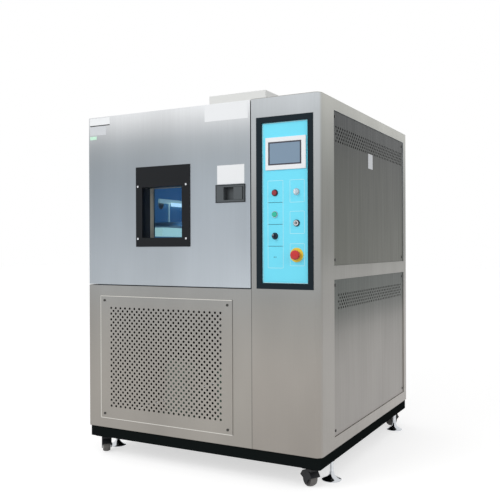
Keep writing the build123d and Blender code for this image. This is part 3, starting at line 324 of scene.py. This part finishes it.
SCREEN_DARK = plain("screen_dark", linear(66, 66, 76), 0.3)
SCREEN_FACE = plain("screen_face", linear(128, 150, 171), 0.15)
BLANK_WHITE = plain("blank_white", linear(236, 238, 240), 0.4)
BLANK_GREY = plain("blank_grey", linear(206, 209, 213), 0.4)
BLANK_MINT = plain("blank_mint", linear(200, 240, 216), 0.4)
RED_PLASTIC = plain("red_plastic", linear(200, 40, 42), 0.25, coat=0.4)
DARK_RED = plain("dark_red", linear(150, 42, 52), 0.25, coat=0.4)
GREEN_PLASTIC = plain("green_plastic", linear(40, 190, 160), 0.25, coat=0.4)
BLACK_PLASTIC = plain("black_plastic", linear(36, 40, 56), 0.3, coat=0.3)
SILVER_PLASTIC = plain("silver_plastic", linear(224, 230, 236), 0.25, 0.3)
YELLOW_PLASTIC = plain("yellow_plastic", linear(240, 208, 70), 0.35)
WHEEL_GREY = plain("wheel_grey", linear(112, 110, 108), 0.55)
WHEEL_SIDE = plain("wheel_side", linear(62, 60, 60), 0.6)
WINDOW_OUTER = glass("window_outer", linear(246, 249, 251))
WINDOW_INNER = glass("window_inner", linear(150, 192, 224))


def tunnel_paint():
    """Black window frame whose tunnel turns to the pale inner seal near the test space."""
    black = linear(26, 28, 31)
    made = plain("window_black", black, 0.4, shine=0.15)
    tree = made.node_tree
    step = spread(tree, along(tree, "Y"), 0.0, 1.0, FRONT + 0.060, FRONT + 0.062)
    pale = mixed(tree, step, black, linear(196, 190, 172))
    tree.links.new(pale, tree.nodes["Principled BSDF"].inputs["Base Color"])
    return made


def lit_wall(name, colour, glow):
    """Lining of the test space with painted light: the light of its lamp painted on as a glow of its
    own.
    """
    made = plain(name, colour, 0.4, 0.6)
    shader = made.node_tree.nodes["Principled BSDF"]
    shader.inputs["Emission Color"].default_value = colour
    shader.inputs["Emission Strength"].default_value = glow
    return made


WINDOW_BLACK = tunnel_paint()
# Painted light: the test space's walls, sensor pieces and pan glow with its lamp's light painted on; the
# blue of the liner and back wall is part of that painted light
LIT_LINER = lit_wall("lit_liner", linear(84, 126, 154), 0.35)
LIT_BACK = lit_wall("lit_back", linear(96, 138, 176), 0.8)
SENSOR_RAIL_PAINTED_GLOW = lit_wall("sensor_rail", linear(206, 204, 186), 0.7)
SENSOR_WHITE_PAINTED_GLOW = lit_wall("sensor_white_painted_glow", linear(254, 246, 234), 1.4)
MINT_LIT = lit_wall("mint_tray_lit", linear(238, 240, 208), 1.0)


# ---------------------------------------------------------------- making pieces


def finish_mesh(bm, name, materials, body, limit=50.0, weighted=True):
    """Turns a bmesh into a smooth-shaded object with its hard edges kept, riding on a body."""
    bm.normal_update()
    for edge in bm.edges:
        hard = len(edge.link_faces) != 2 or edge.calc_face_angle(0.0) > math.radians(limit)
        edge.smooth = not hard
    for face in bm.faces:
        face.smooth = True
    mesh = bpy.data.meshes.new(name)
    bm.to_mesh(mesh)
    bm.free()
    for material in materials if isinstance(materials, (list, tuple)) else [materials]:
        mesh.materials.append(material)
    made = bpy.data.objects.new(name, mesh)
    bpy.context.scene.collection.objects.link(made)
    if weighted:
        normals = made.modifiers.new("weighted_normals", "WEIGHTED_NORMAL")
        normals.keep_sharp = True
        normals.weight = 100
    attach(made, body)
    return made


def bevel_hard(bm, width, segments):
    """Rounds the hard edges of a bmesh."""
    limit = math.radians(BEVEL_ANGLE)
    edges = [e for e in bm.edges if len(e.link_faces) == 2 and e.calc_face_angle(0.0) > limit]
    bmesh.ops.bevel(bm, geom=edges, offset=width, segments=segments, profile=0.5,
                    affect="EDGES", clamp_overlap=True)


def dressed(node, materials, width):
    """The CAD node's own form with rounded edges, kept inside the node's box, in its place."""
    source = frame["nodes"][node]
    bm = bmesh.new()
    bm.from_mesh(source.data)
    bmesh.ops.remove_doubles(bm, verts=bm.verts, dist=WELD)
    bmesh.ops.dissolve_limit(bm, angle_limit=math.radians(FLAT_ANGLE), verts=bm.verts, edges=bm.edges)
    bmesh.ops.dissolve_degenerate(bm, dist=WELD, edges=bm.edges)
    bm.normal_update()
    bevel_hard(bm, width, 2)
    low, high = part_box(node)
    for vert in bm.verts:
        vert.co = Vector([min(max(c, a), b) for c, a, b in zip(vert.co, low, high)])
    bmesh.ops.triangulate(bm, faces=[f for f in bm.faces if len(f.verts) > 4])
    made = finish_mesh(bm, node + "_dressed", materials, source["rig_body"])
    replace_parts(made, node)
    return made


def slab(name, low, high, material, body, width=0.0005, segments=2):
    """A box between two corners with rounded edges."""
    low, high = Vector(low), Vector(high)
    bm = bmesh.new()
    bmesh.ops.create_cube(bm, size=1.0)
    size = high - low
    for vert in bm.verts:
        vert.co = Vector(c * s for c, s in zip(vert.co, size)) + (low + high) / 2
    if width:
        bevel_hard(bm, min(width, min(size) * 0.45), segments)
    return finish_mesh(bm, name, material, body)


def turned(name, profile, place, turn, materials, body, segments=40, bands=None):
    """A form turned about its own Z from (radius, height) points, placed by a point and a rotation."""
    bm = bmesh.new()
    rings = []
    for radius, level in profile:
        if radius < 1e-6:
            rings.append([bm.verts.new((0, 0, level))])
            continue
        angles = [2 * math.pi * i / segments for i in range(segments)]
        rings.append([bm.verts.new((radius * math.cos(a), radius * math.sin(a), level)) for a in angles])
    for index, (lower, upper) in enumerate(zip(rings, rings[1:])):
        for i in range(segments):
            j = (i + 1) % segments
            loop = [lower[i % len(lower)], lower[j % len(lower)],
                    upper[j % len(upper)], upper[i % len(upper)]]
            unique = list(dict.fromkeys(loop))
            if len(unique) > 2:
                face = bm.faces.new(unique)
                face.material_index = bands[index] if bands else 0
    bmesh.ops.recalc_face_normals(bm, faces=bm.faces)
    bm.transform(Matrix.Translation(Vector(place)) @ turn.to_4x4())
    return finish_mesh(bm, name, materials, body, 35.0, weighted=False)


TO_FRONT = Matrix.Rotation(math.radians(90), 3, "X")
UPRIGHT = Matrix.Identity(3)


def joined(name, parts):
    """One object from several on the same body."""
    bpy.ops.object.select_all(action="DESELECT")
    for part in parts:
        part.select_set(True)
    bpy.context.view_layer.objects.active = parts[0]
    bpy.ops.object.join()
    parts[0].name = name
    return parts[0]


def middle(node):
    """Centre of a CAD node's box."""
    low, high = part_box(node)
    return (low + high) / 2


# ---------------------------------------------------------------- perforated panels


def staggered(u0, v0, columns, rows, pitch_u, pitch_v):
    """Centres of a hole field with a row of holes between each two rows."""
    main = [(u0 + i * pitch_u, v0 + j * pitch_v) for i in range(columns) for j in range(rows)]
    between = [(u0 + (i + 0.5) * pitch_u, v0 + (j + 0.5) * pitch_v)
               for i in range(columns - 1) for j in range(rows - 1)]
    return main + between


def perforated(name, u0, u1, v0, v1, centres, thickness):
    """A flat sheet in its own XY plane with round holes, as a mesh."""
    curve = bpy.data.curves.new(name, "CURVE")
    curve.dimensions = "2D"
    curve.fill_mode = "BOTH"
    curve.extrude = thickness / 2
    loops = [[(u0, v0), (u1, v0), (u1, v1), (u0, v1)]]
    for u, v in centres:
        angles = [2 * math.pi * i / HOLE_SIDES for i in range(HOLE_SIDES)]
        loops.append([(u + HOLE_RADIUS * math.cos(a), v + HOLE_RADIUS * math.sin(a)) for a in angles])
    for points in loops:
        spline = curve.splines.new("POLY")
        spline.points.add(len(points) - 1)
        for point, (u, v) in zip(spline.points, points):
            point.co = (u, v, 0, 1)
        spline.use_cyclic_u = True
    holder = bpy.data.objects.new(name, curve)
    bpy.context.scene.collection.objects.link(holder)
    bpy.context.view_layer.update()
    mesh = bpy.data.meshes.new_from_object(holder.evaluated_get(bpy.context.evaluated_depsgraph_get()))
    bpy.data.objects.remove(holder)
    bm = bmesh.new()
    bm.from_mesh(mesh)
    bpy.data.meshes.remove(mesh)
    bmesh.ops.remove_doubles(bm, verts=bm.verts, dist=WELD)
    return bm


def grille():
    """Perforated front panel with its folded rim, with a painted highlight along its left, top and
    bottom edges.
    """
    low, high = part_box("grille_panel")
    first = from_right(-1.079)
    bottom = from_bottom(0.108)
    pitch_u = (from_right(-0.472) - first) / (GRILLE_COLUMNS - 1)
    pitch_v = (from_bottom(0.577) - bottom) / (GRILLE_ROWS - 1)
    centres = staggered(first, bottom, GRILLE_COLUMNS, GRILLE_ROWS, pitch_u, pitch_v)
    inset = 0.001
    bm = perforated("grille", low.x + inset, high.x - inset, low.z + inset, high.z - inset, centres,
                    0.0015)
    upright = Matrix(((1, 0, 0, 0), (0, 0, -1, low.y + 0.00115), (0, 1, 0, 0), (0, 0, 0, 1)))
    bm.transform(upright)
    bmesh.ops.recalc_face_normals(bm, faces=bm.faces)
    sheet = finish_mesh(bm, "grille_sheet", LOWER_STEEL, "cabinet", weighted=False)
    rim = []
    # The left, top and bottom rim strips carry a painted highlight; the right one is plain lower steel
    for x0, x1, z0, z1, steel in (
        (low.x, high.x, low.z, low.z + 0.003, RIM_HIGHLIGHT_STEEL),
        (low.x, high.x, high.z - 0.003, high.z, RIM_HIGHLIGHT_STEEL),
        (low.x, low.x + 0.003, low.z, high.z, RIM_HIGHLIGHT_STEEL),
        (high.x - 0.002, high.x, low.z, high.z, LOWER_STEEL),
    ):
        rim.append(slab("rim", (x0, low.y, z0), (x1, high.y, z1), steel, "cabinet", 0.0008))
    made = joined("grille_dressed", [sheet] + rim)
    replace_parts(made, "grille_panel")


def side_covers():
    """Upper and lower side covers with their vents, in steel with painted shade."""
    low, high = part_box("side_covers")
    opening_low = from_bottom(0.051)
    for name, z0, z1, y_first, y_last, columns, vent_low, vent_high, steel in (
        ("lower", opening_low + 0.001, from_bottom(0.7235), 0.219, 1.170, LOWER_VENT_COLUMNS,
         0.5995, 0.6565, LOWER_COVER_SHADED_STEEL),
        ("upper", from_bottom(0.786), from_bottom(1.449), 0.190, 1.188, UPPER_VENT_COLUMNS,
         1.3225, 1.3825, UPPER_COVER_SHADED_STEEL),
    ):
        pitch_u = (y_last - y_first) / (columns - 1)
        pitch_v = (vent_high - vent_low) / (VENT_ROWS - 1)
        centres = staggered(FRONT + y_first, from_bottom(vent_low), columns, VENT_ROWS, pitch_u, pitch_v)
        bm = perforated("cover", low.y, high.y, z0, z1, centres, 0.0018)
        bm.transform(Matrix(((0, 0, 1, high.x - 0.0009), (1, 0, 0, 0), (0, 1, 0, 0), (0, 0, 0, 1))))
        bmesh.ops.recalc_face_normals(bm, faces=bm.faces)
        made = finish_mesh(bm, "side_cover_" + name, steel, "cabinet", weighted=False)
        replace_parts(made, "side_covers")


# ---------------------------------------------------------------- front details


def sticker(name, x0, x1, z0, z1, material):
    """A blank plate on the door's face."""
    face = door_low.y
    return slab(name, (from_right(x0), face - 0.0006, from_bottom(z0)),
                (from_right(x1), face, from_bottom(z1)), material, "door", 0.0002, 1)


def blank_plates():
    """Bare plates of the door and of the side, and a painted shadow line under the top left plate."""
    sticker("plate_top_right", -0.551, -0.333, 1.421, 1.4935, BLANK_WHITE)
    sticker("plate_top_left", -1.207, -1.086, 1.459, 1.4935, BLANK_WHITE)
    # Painted shadow: a dark line under the top left plate
    sticker("plate_top_left_painted_shadow", -1.207, -1.086, 1.4545, 1.4588, LATCH_DARK)
    sticker("plate_left_second", -1.207, -1.107, 1.410, 1.4523, BLANK_GREY)
    sticker("plate_left_third", -1.207, -1.166, 1.390, 1.406, BLANK_MINT)
    sticker("plate_over_latch", -0.487, -0.351, 1.141, 1.224, BLANK_WHITE)
    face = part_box("side_covers")[1].x
    slab("plate_side", (face, FRONT + 0.621, from_bottom(1.246)),
         (face + 0.0006, FRONT + 0.689, from_bottom(1.318)), BLANK_GREY, "cabinet", 0.0002, 1)


def ribbon(points, width, face):
    """A thin printed line along (x, z) points on the control plate, as a bmesh strip."""
    bm = bmesh.new()
    count = len(points)
    rows = []
    for i, (x, z) in enumerate(points):
        before = Vector(points[(i - 1) % count])
        after = Vector(points[(i + 1) % count])
        here = Vector((x, z))
        a = (here - before).normalized()
        b = (after - here).normalized()
        tangent = (a + b).normalized()
        normal = Vector((-tangent.y, tangent.x))
        grow = width / 2 / max(0.5, normal.dot(Vector((-a.y, a.x))))
        rows.append([bm.verts.new((here.x + side * grow * normal.x, face - PRINT_RISE,
                                   here.y + side * grow * normal.y)) for side in (-1, 1)])
    for i in range(count):
        j = (i + 1) % count
        bm.faces.new((rows[i][0], rows[j][0], rows[j][1], rows[i][1]))
    bmesh.ops.recalc_face_normals(bm, faces=bm.faces)
    return bm


def rounded_box(x0, x1, z0, z1, radius, steps=5):
    """Points round a rectangle with rounded corners."""
    points = []
    for cx, cz, start in ((x1 - radius, z1 - radius, 0), (x0 + radius, z1 - radius, 90),
                          (x0 + radius, z0 + radius, 180), (x1 - radius, z0 + radius, 270)):
        for i in range(steps + 1):
            angle = math.radians(start + 90 * i / steps)
            points.append((cx + radius * math.cos(angle), cz + radius * math.sin(angle)))
    return points


def printed_lines():
    """White outlines printed on the control plate."""
    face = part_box("control_panel")[0].y
    boxes = [(-0.2645, -0.0545, 0.7145, 1.3885, 0.008)]
    edges = (0.777, 0.869, 0.961, 1.053, 1.145)
    for z0, z1 in zip(edges, edges[1:]):
        boxes.append((-0.241, -0.170, z0, z1, 0.003))
    for z0, z1 in ((0.787, 0.879), (0.921, 1.014), (1.052, 1.145)):
        boxes.append((-0.138, -0.073, z0, z1, 0.003))
    for index, (x0, x1, z0, z1, radius) in enumerate(boxes):
        width = 0.0022 if index == 0 else 0.0016
        outline = rounded_box(from_right(x0), from_right(x1), from_bottom(z0), from_bottom(z1), radius)
        bm = ribbon(outline, width, face)
        made = finish_mesh(bm, "printed_line_%d" % index, PRINT_WHITE, "cabinet", weighted=False)
        solid = made.modifiers.new("print", "SOLIDIFY")
        solid.thickness = 0.0002
    for x in (-0.212, -0.204):
        place = (from_right(x), face - 0.0004, from_bottom(0.823))
        turned("indicator_hole", [(0, 0.0006), (0.0016, 0.0005), (0.0020, -0.0004)], place, TO_FRONT,
               GROOVE, "cabinet", 16)


def operators():
    """Buttons, selectors, key switch and emergency stop with round forms."""
    collar_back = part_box("operator_collars")[1].y
    ring = [(0.0112, 0.0), (0.0145, 0.0), (0.0145, 0.0022), (0.0134, 0.0038), (0.0122, 0.004),
            (0.0112, 0.0034)]
    collars = []
    for node, dark in (("red_button", True), ("green_button", False), ("black_selector", True),
                       ("silver_selector", False), ("key_switch", True)):
        centre = middle(node)
        collars.append(turned("collar", ring, (centre.x, collar_back, centre.z), TO_FRONT,
                              BLACK_PLASTIC if dark else CHROME, "cabinet", 32))
    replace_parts(joined("collars_round", collars), "operator_collars")
    cap = [(0.0, 0.0), (0.0109, 0.0), (0.0109, 0.0046), (0.0103, 0.0054), (0.0088, 0.0055),
           (0.0, 0.0055)]
    for node, material in (("red_button", DARK_RED), ("green_button", GREEN_PLASTIC)):
        centre = middle(node)
        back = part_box(node)[1].y
        made = turned(node + "_round", cap, (centre.x, back, centre.z), TO_FRONT, material, node, 32)
        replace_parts(made, node)
    for node, plastic in (("black_selector", BLACK_PLASTIC), ("silver_selector", SILVER_PLASTIC)):
        centre = middle(node)
        near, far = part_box(node)
        head = [(0.0, 0.0), (0.0109, 0.0), (0.0109, 0.0040), (0.0098, 0.0062), (0.0, 0.0066)]
        made = turned(node + "_base", head, (centre.x, far.y, centre.z), TO_FRONT, plastic, node, 32)
        slab(node + "_grip", (centre.x - 0.0038, near.y, centre.z - 0.0096),
             (centre.x + 0.0038, far.y - 0.002, centre.z + 0.0096), plastic, node, 0.0016, 3)
        slab(node + "_mark", (centre.x - 0.0008, near.y - 0.0001, centre.z + 0.001),
             (centre.x + 0.0008, near.y + 0.001, centre.z + 0.0085), BLANK_WHITE, node, 0)
        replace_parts(made, node)
    key = "key_switch"
    centre = middle(key)
    near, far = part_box(key)
    barrel = [(0.0, 0.0), (0.0109, 0.0), (0.0109, 0.0048), (0.0100, 0.0054), (0.0062, 0.0054),
              (0.0058, 0.0048), (0.0, 0.0048)]
    made = turned("key_barrel", barrel, (centre.x, far.y, centre.z), TO_FRONT, [CHROME, LATCH_DARK],
                  key, 32, [0, 0, 0, 0, 0, 1])
    slab("key_slot", (centre.x - 0.0009, near.y + 0.0003, centre.z - 0.004),
         (centre.x + 0.0009, near.y + 0.001, centre.z + 0.004), BLANK_WHITE, key, 0)
    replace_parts(made, key)
    emergency_stop()


def emergency_stop():
    """Red mushroom head on its yellow disc."""
    centre = middle("estop_disc")
    disc_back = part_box("estop_disc")[1].y
    disc = [(0.0, 0.0), (0.0300, 0.0), (0.0300, 0.0014), (0.0294, 0.0020), (0.0132, 0.0020),
            (0.0130, 0.0026), (0.0130, 0.0158), (0.0, 0.016)]
    made = turned("estop_disc_round", disc, (centre.x, disc_back, centre.z), TO_FRONT,
                  [YELLOW_PLASTIC, SILVER_PLASTIC], "cabinet", 48, [0, 0, 0, 0, 1, 1, 1])
    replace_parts(made, "estop_disc")
    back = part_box("estop_button")[1].y
    head = [(0.0132, 0.0), (0.0188, 0.0), (0.0198, 0.0012), (0.0200, 0.0040), (0.0200, 0.0110),
            (0.0196, 0.0136), (0.0180, 0.0162), (0.0150, 0.0184), (0.0110, 0.0196), (0.0060, 0.0199),
            (0.0, 0.02)]
    made = turned("estop_head", head, (centre.x, back, centre.z), TO_FRONT, RED_PLASTIC,
                  "estop_button", 48)
    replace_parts(made, "estop_button")


def screen():
    """Touch screen with its dark margin and grey-blue face."""
    low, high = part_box("touch_screen")
    frame["nodes"]["touch_screen"].data.materials.clear()
    frame["nodes"]["touch_screen"].data.materials.append(SCREEN_DARK)
    slab("screen_face", (low.x + 0.007, low.y - 0.0003, low.z + 0.006),
         (high.x - 0.007, low.y + 0.0005, high.z - 0.006), SCREEN_FACE, "cabinet", 0)


def latch():
    """Latch with a raised border, its finger pocket and the pull paddle."""
    dressed("latch_housing", LATCH_PAINT, 0.0009)
    dressed("latch_paddle", LATCH_PAINT, 0.0008)
    low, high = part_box("latch_housing")
    edge = 0.004
    for name, x0, x1, z0, z1 in (
        ("left", low.x, low.x + edge, low.z, high.z), ("right", high.x - edge, high.x, low.z, high.z),
        ("top", low.x, high.x, high.z - edge, high.z), ("bottom", low.x, high.x, low.z, low.z + edge),
    ):
        slab("latch_border_" + name, (x0, low.y - 0.0012, z0), (x1, low.y + 0.001, z1), LATCH_DARK,
             "door", 0.0005)


# ---------------------------------------------------------------- window and test space


def window():
    """Round screws and the two panes of the window."""
    screws = []
    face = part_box("window_screws")[1].y
    head = [(0.0, 0.0), (0.0052, 0.0), (0.0050, 0.0012), (0.0036, 0.0022), (0.0, 0.0025)]
    glass_low, glass_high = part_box("window_glass")
    for x in (from_right(-0.917), from_right(-0.649)):
        for z in (from_bottom(0.9065), from_bottom(1.1505)):
            screws.append(turned("window_screw", head, (x, face, z), TO_FRONT, CHROME, "door", 24))
    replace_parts(joined("window_screws_round", screws), "window_screws")
    pane = 0.006
    for name, near, far, material in (
        ("window_pane_outer", glass_low.y, glass_low.y + pane, WINDOW_OUTER),
        ("window_pane_inner", glass_high.y - pane, glass_high.y, WINDOW_INNER),
    ):
        made = slab(name, (glass_low.x, near, glass_low.z), (glass_high.x, far, glass_high.z), material,
                    "door", 0)
        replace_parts(made, "window_glass")


def humidity_sensor():
    """Sensor rail, bar and hanging wick on the left wall and the water pan under the shelf, glowing with
    painted light.
    """
    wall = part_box("air_baffle")[0].x
    shelf_low, shelf_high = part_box("shelf")
    rail_low, rail_high = from_bottom(1.100), from_bottom(1.122)
    slab("sensor_rail", (wall, FRONT + 0.373, rail_low),
         (wall + 0.012, FRONT + 0.680, rail_high), SENSOR_RAIL_PAINTED_GLOW, "cabinet", 0.001)
    slab("sensor_bar", (wall + 0.020, FRONT + 0.458, from_bottom(1.086)),
         (wall + 0.032, FRONT + 0.655, from_bottom(1.105)), SENSOR_WHITE_PAINTED_GLOW, "cabinet", 0.002)
    slab("sensor_arm", (wall + 0.010, FRONT + 0.600, from_bottom(1.090)),
         (wall + 0.022, FRONT + 0.612, from_bottom(1.104)), SENSOR_WHITE_PAINTED_GLOW, "cabinet", 0.001)
    slab("sensor_wick", (wall + 0.004, FRONT + 0.460, shelf_high.z + 0.001),
         (wall + 0.008, FRONT + 0.466, rail_low + 0.001), SENSOR_RAIL_PAINTED_GLOW, "cabinet", 0)
    slab("water_pan", (wall + 0.030, FRONT + 0.293, shelf_low.z - 0.045),
         (wall + 0.080, FRONT + 0.655, shelf_low.z), MINT_LIT, "shelf", 0.004)


# ---------------------------------------------------------------- casters and feet


def casters():
    """Round wheels, pressed forks and turned levelling feet."""
    joints = {j["child"]: j for j in frame["joints"]}
    for corner in ("front_left", "front_right", "rear_left", "rear_right"):
        fork = "caster_fork_" + corner
        wheel = "caster_wheel_" + corner
        dressed(fork, BLACK_PAINT, 0.0007)
        roll = joints[wheel]
        axis = Vector(roll["axis"]).normalized()
        turn = axis.to_track_quat("Z", "Y").to_matrix()
        half = 0.018
        tyre = [(0.0041, -half), (0.020, -half), (0.0215, -half + 0.0012), (0.0240, -half + 0.0010),
                (0.0270, -half), (0.0298, -half + 0.0030), (0.0314, -half + 0.0075),
                (0.0323, -half + 0.013),
                (0.0325, 0.0), (0.0323, half - 0.013), (0.0314, half - 0.0075), (0.0298, half - 0.0030),
                (0.0270, half), (0.0240, half - 0.0010), (0.0215, half - 0.0012), (0.020, half),
                (0.0041, half)]
        bands = [1, 1, 1, 1] + [0] * 8 + [1, 1, 1, 1]
        made = turned(wheel + "_round", tyre, roll["pos_m"], turn, [WHEEL_GREY, WHEEL_SIDE], wheel,
                      48, bands)
        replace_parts(made, wheel)
        foot = "levelling_foot_" + corner
        low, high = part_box(foot)
        centre = (low + high) / 2
        bell = [(0.0, 0.0), (0.0425, 0.0), (0.0430, 0.0008), (0.0430, 0.0026), (0.0422, 0.0036),
                (0.0370, 0.0060),
                (0.0270, 0.0105), (0.0190, 0.0150), (0.0140, 0.0200), (0.0115, 0.0260), (0.0100, 0.0330),
                (0.0080, 0.0400), (0.0080, high.z)]
        made = turned(foot + "_round", bell, (centre.x, centre.y, 0), UPRIGHT, CHROME, foot, 48)
        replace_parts(made, foot)


# ---------------------------------------------------------------- plain nodes


def paint_nodes():
    """Materials of the nodes that are shown as they are, and rounded forms of the large ones."""
    for node, material, width in (
        ("door_skin", DOOR_STEEL, 0.0009), ("front_frame", LOWER_STEEL, 0.0005),
        ("control_column", COLUMN_STEEL, 0.0006), ("motor_cover", COVER_PAINT, 0.0009),
        ("base_frame", PLINTH_PAINT, 0.0009), ("window_frame", WINDOW_BLACK, 0.0008),
        ("panel_surround", PANEL_BLACK, 0.0007), ("screen_bezel", SCREEN_WHITE, 0.0008),
        ("cabinet_shell", SIDE_STEEL, 0.0006), ("door_gasket", SEAL_RUBBER, 0.0020),
        ("cable_port", LINER_STEEL, 0.0004), ("fasteners", DARK_SCREW, 0.0004),
    ):
        dressed(node, material, width)
    # The liner and the air baffle glow with painted light
    plain_nodes = {
        "chassis": FRAME_STEEL, "back_panel": SIDE_STEEL, "inner_liner": LIT_LINER, "insulation": FOAM,
        "air_baffle": LIT_BACK, "shelf_rails": LINER_STEEL, "shelf": LINER_STEEL,
        "circulation_fan": FIN_METAL,
        "fan_motor": MOTOR_PAINT, "evaporator": FIN_METAL, "heater": HEATER_METAL,
        "compressors": COMPRESSOR_PAINT, "condenser": FIN_METAL, "condenser_fan": FAN_PLASTIC,
        "electrical_gear": DEVICE_PLASTIC, "door_liner": LINER_STEEL, "door_insulation": FOAM,
        "latch_striker": FRAME_STEEL, "hinge_door_leaves": FRAME_STEEL,
        "hinge_cabinet_leaves": FRAME_STEEL,
        "control_panel": PANEL_CYAN,
    }
    for node, material in plain_nodes.items():
        mesh = frame["nodes"][node].data
        mesh.materials.clear()
        mesh.materials.append(material)


def seams():
    """Dark joint lines beside the control column and under the door."""
    x = column_low.x
    half = 0.0007
    slab("seam_column", (x - half, FRONT - 0.0002, BODY_BOTTOM),
         (x + half, FRONT + 0.001, from_bottom(0.684)), GROOVE, "cabinet", 0)
    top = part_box("front_frame")[1].z
    slab("seam_door", (LEFT + 0.001, FRONT + 0.001, top), (x, FRONT + 0.045, top + 0.0012),
         GROOVE, "cabinet", 0)


# ---------------------------------------------------------------- stage


def ray_kind(tree, *kinds):
    """1 for rays of the given kinds, else 0."""
    rays = tree.nodes.new("ShaderNodeLightPath")
    value = rays.outputs[kinds[0]]
    for kind in kinds[1:]:
        larger = tree.nodes.new("ShaderNodeMath")
        larger.operation = "MAXIMUM"
        tree.links.new(value, larger.inputs[0])
        tree.links.new(rays.outputs[kind], larger.inputs[1])
        value = larger.outputs[0]
    return value


def floor_paper():
    """Pale floor that keeps the shadow and glows only for camera and glossy rays."""
    paper = plain("floor_paper", (PAPER_TONE, PAPER_TONE, PAPER_TONE, 1), 0.9)
    tree = paper.node_tree
    shader = tree.nodes["Principled BSDF"]
    glow = tree.nodes.new("ShaderNodeEmission")
    glow.inputs["Color"].default_value = (PAPER_GLOW, PAPER_GLOW, PAPER_GLOW, 1)
    total = tree.nodes.new("ShaderNodeAddShader")
    choose = tree.nodes.new("ShaderNodeMixShader")
    tree.links.new(shader.outputs[0], total.inputs[0])
    tree.links.new(glow.outputs[0], total.inputs[1])
    tree.links.new(ray_kind(tree, "Is Camera Ray", "Is Glossy Ray"), choose.inputs[0])
    tree.links.new(shader.outputs[0], choose.inputs[1])
    tree.links.new(total.outputs[0], choose.inputs[2])
    tree.links.new(choose.outputs[0], tree.nodes["Material Output"].inputs["Surface"])
    return paper


def stage():
    """Floor, white surroundings, lamps and the camera."""
    bpy.ops.mesh.primitive_plane_add(size=60, location=(0, 0, 0))
    floor = bpy.context.object
    floor.name = "floor"
    floor.data.materials.append(floor_paper())

    world = bpy.data.worlds.new("studio")
    bpy.context.scene.world = world
    world.use_nodes = True
    tree = world.node_tree
    background = tree.nodes["Background"]
    background.inputs["Color"].default_value = (1, 1, 1, 1)
    seen = ray_kind(tree, "Is Camera Ray", "Is Glossy Ray", "Is Transmission Ray")
    level = spread(tree, seen, STUDIO_STRENGTH, 1.0, 0.0, 1.0)
    tree.links.new(level, background.inputs["Strength"])

    for name, place, size, power in (
        ("key", (-1.6, -4.6, 3.6), 3.0, 120), ("fill", (4.4, -1.6, 2.6), 3.0, 45),
    ):
        lamp = bpy.data.lights.new(name, "AREA")
        lamp.energy = power
        lamp.size = size
        aim = Vector((0, 0, 0.9)) - Vector(place)
        holder = bpy.data.objects.new(name, lamp)
        holder.location = place
        holder.rotation_euler = aim.to_track_quat("-Z", "Y").to_euler()
        holder.visible_glossy = False
        bpy.context.scene.collection.objects.link(holder)

    camera = bpy.data.cameras.new("camera")
    camera.lens = CAMERA_LENS
    camera.sensor_width = 36
    holder = bpy.data.objects.new("camera", camera)
    bpy.context.scene.collection.objects.link(holder)
    yaw, pitch, roll = (math.radians(v) for v in (CAMERA_YAW, CAMERA_PITCH, CAMERA_ROLL))
    ahead = Vector((-math.sin(yaw) * math.cos(pitch), math.cos(yaw) * math.cos(pitch),
                    math.sin(pitch)))
    across = Vector((math.cos(yaw), math.sin(yaw), 0))
    up = across.cross(ahead)
    across, up = (math.cos(roll) * across + math.sin(roll) * up,
                  -math.sin(roll) * across + math.cos(roll) * up)
    turn = Matrix((across, up, -ahead)).transposed().to_4x4()
    place = Vector((from_right(CAMERA_RIGHT), FRONT + CAMERA_FRONT, from_bottom(CAMERA_UP)))
    holder.matrix_world = Matrix.Translation(place) @ turn
    bpy.context.scene.camera = holder
    bpy.context.scene.view_settings.view_transform = "Standard"


paint_nodes()
grille()
side_covers()
blank_plates()
printed_lines()
operators()
screen()
latch()
window()
humidity_sensor()
casters()
seams()
stage()
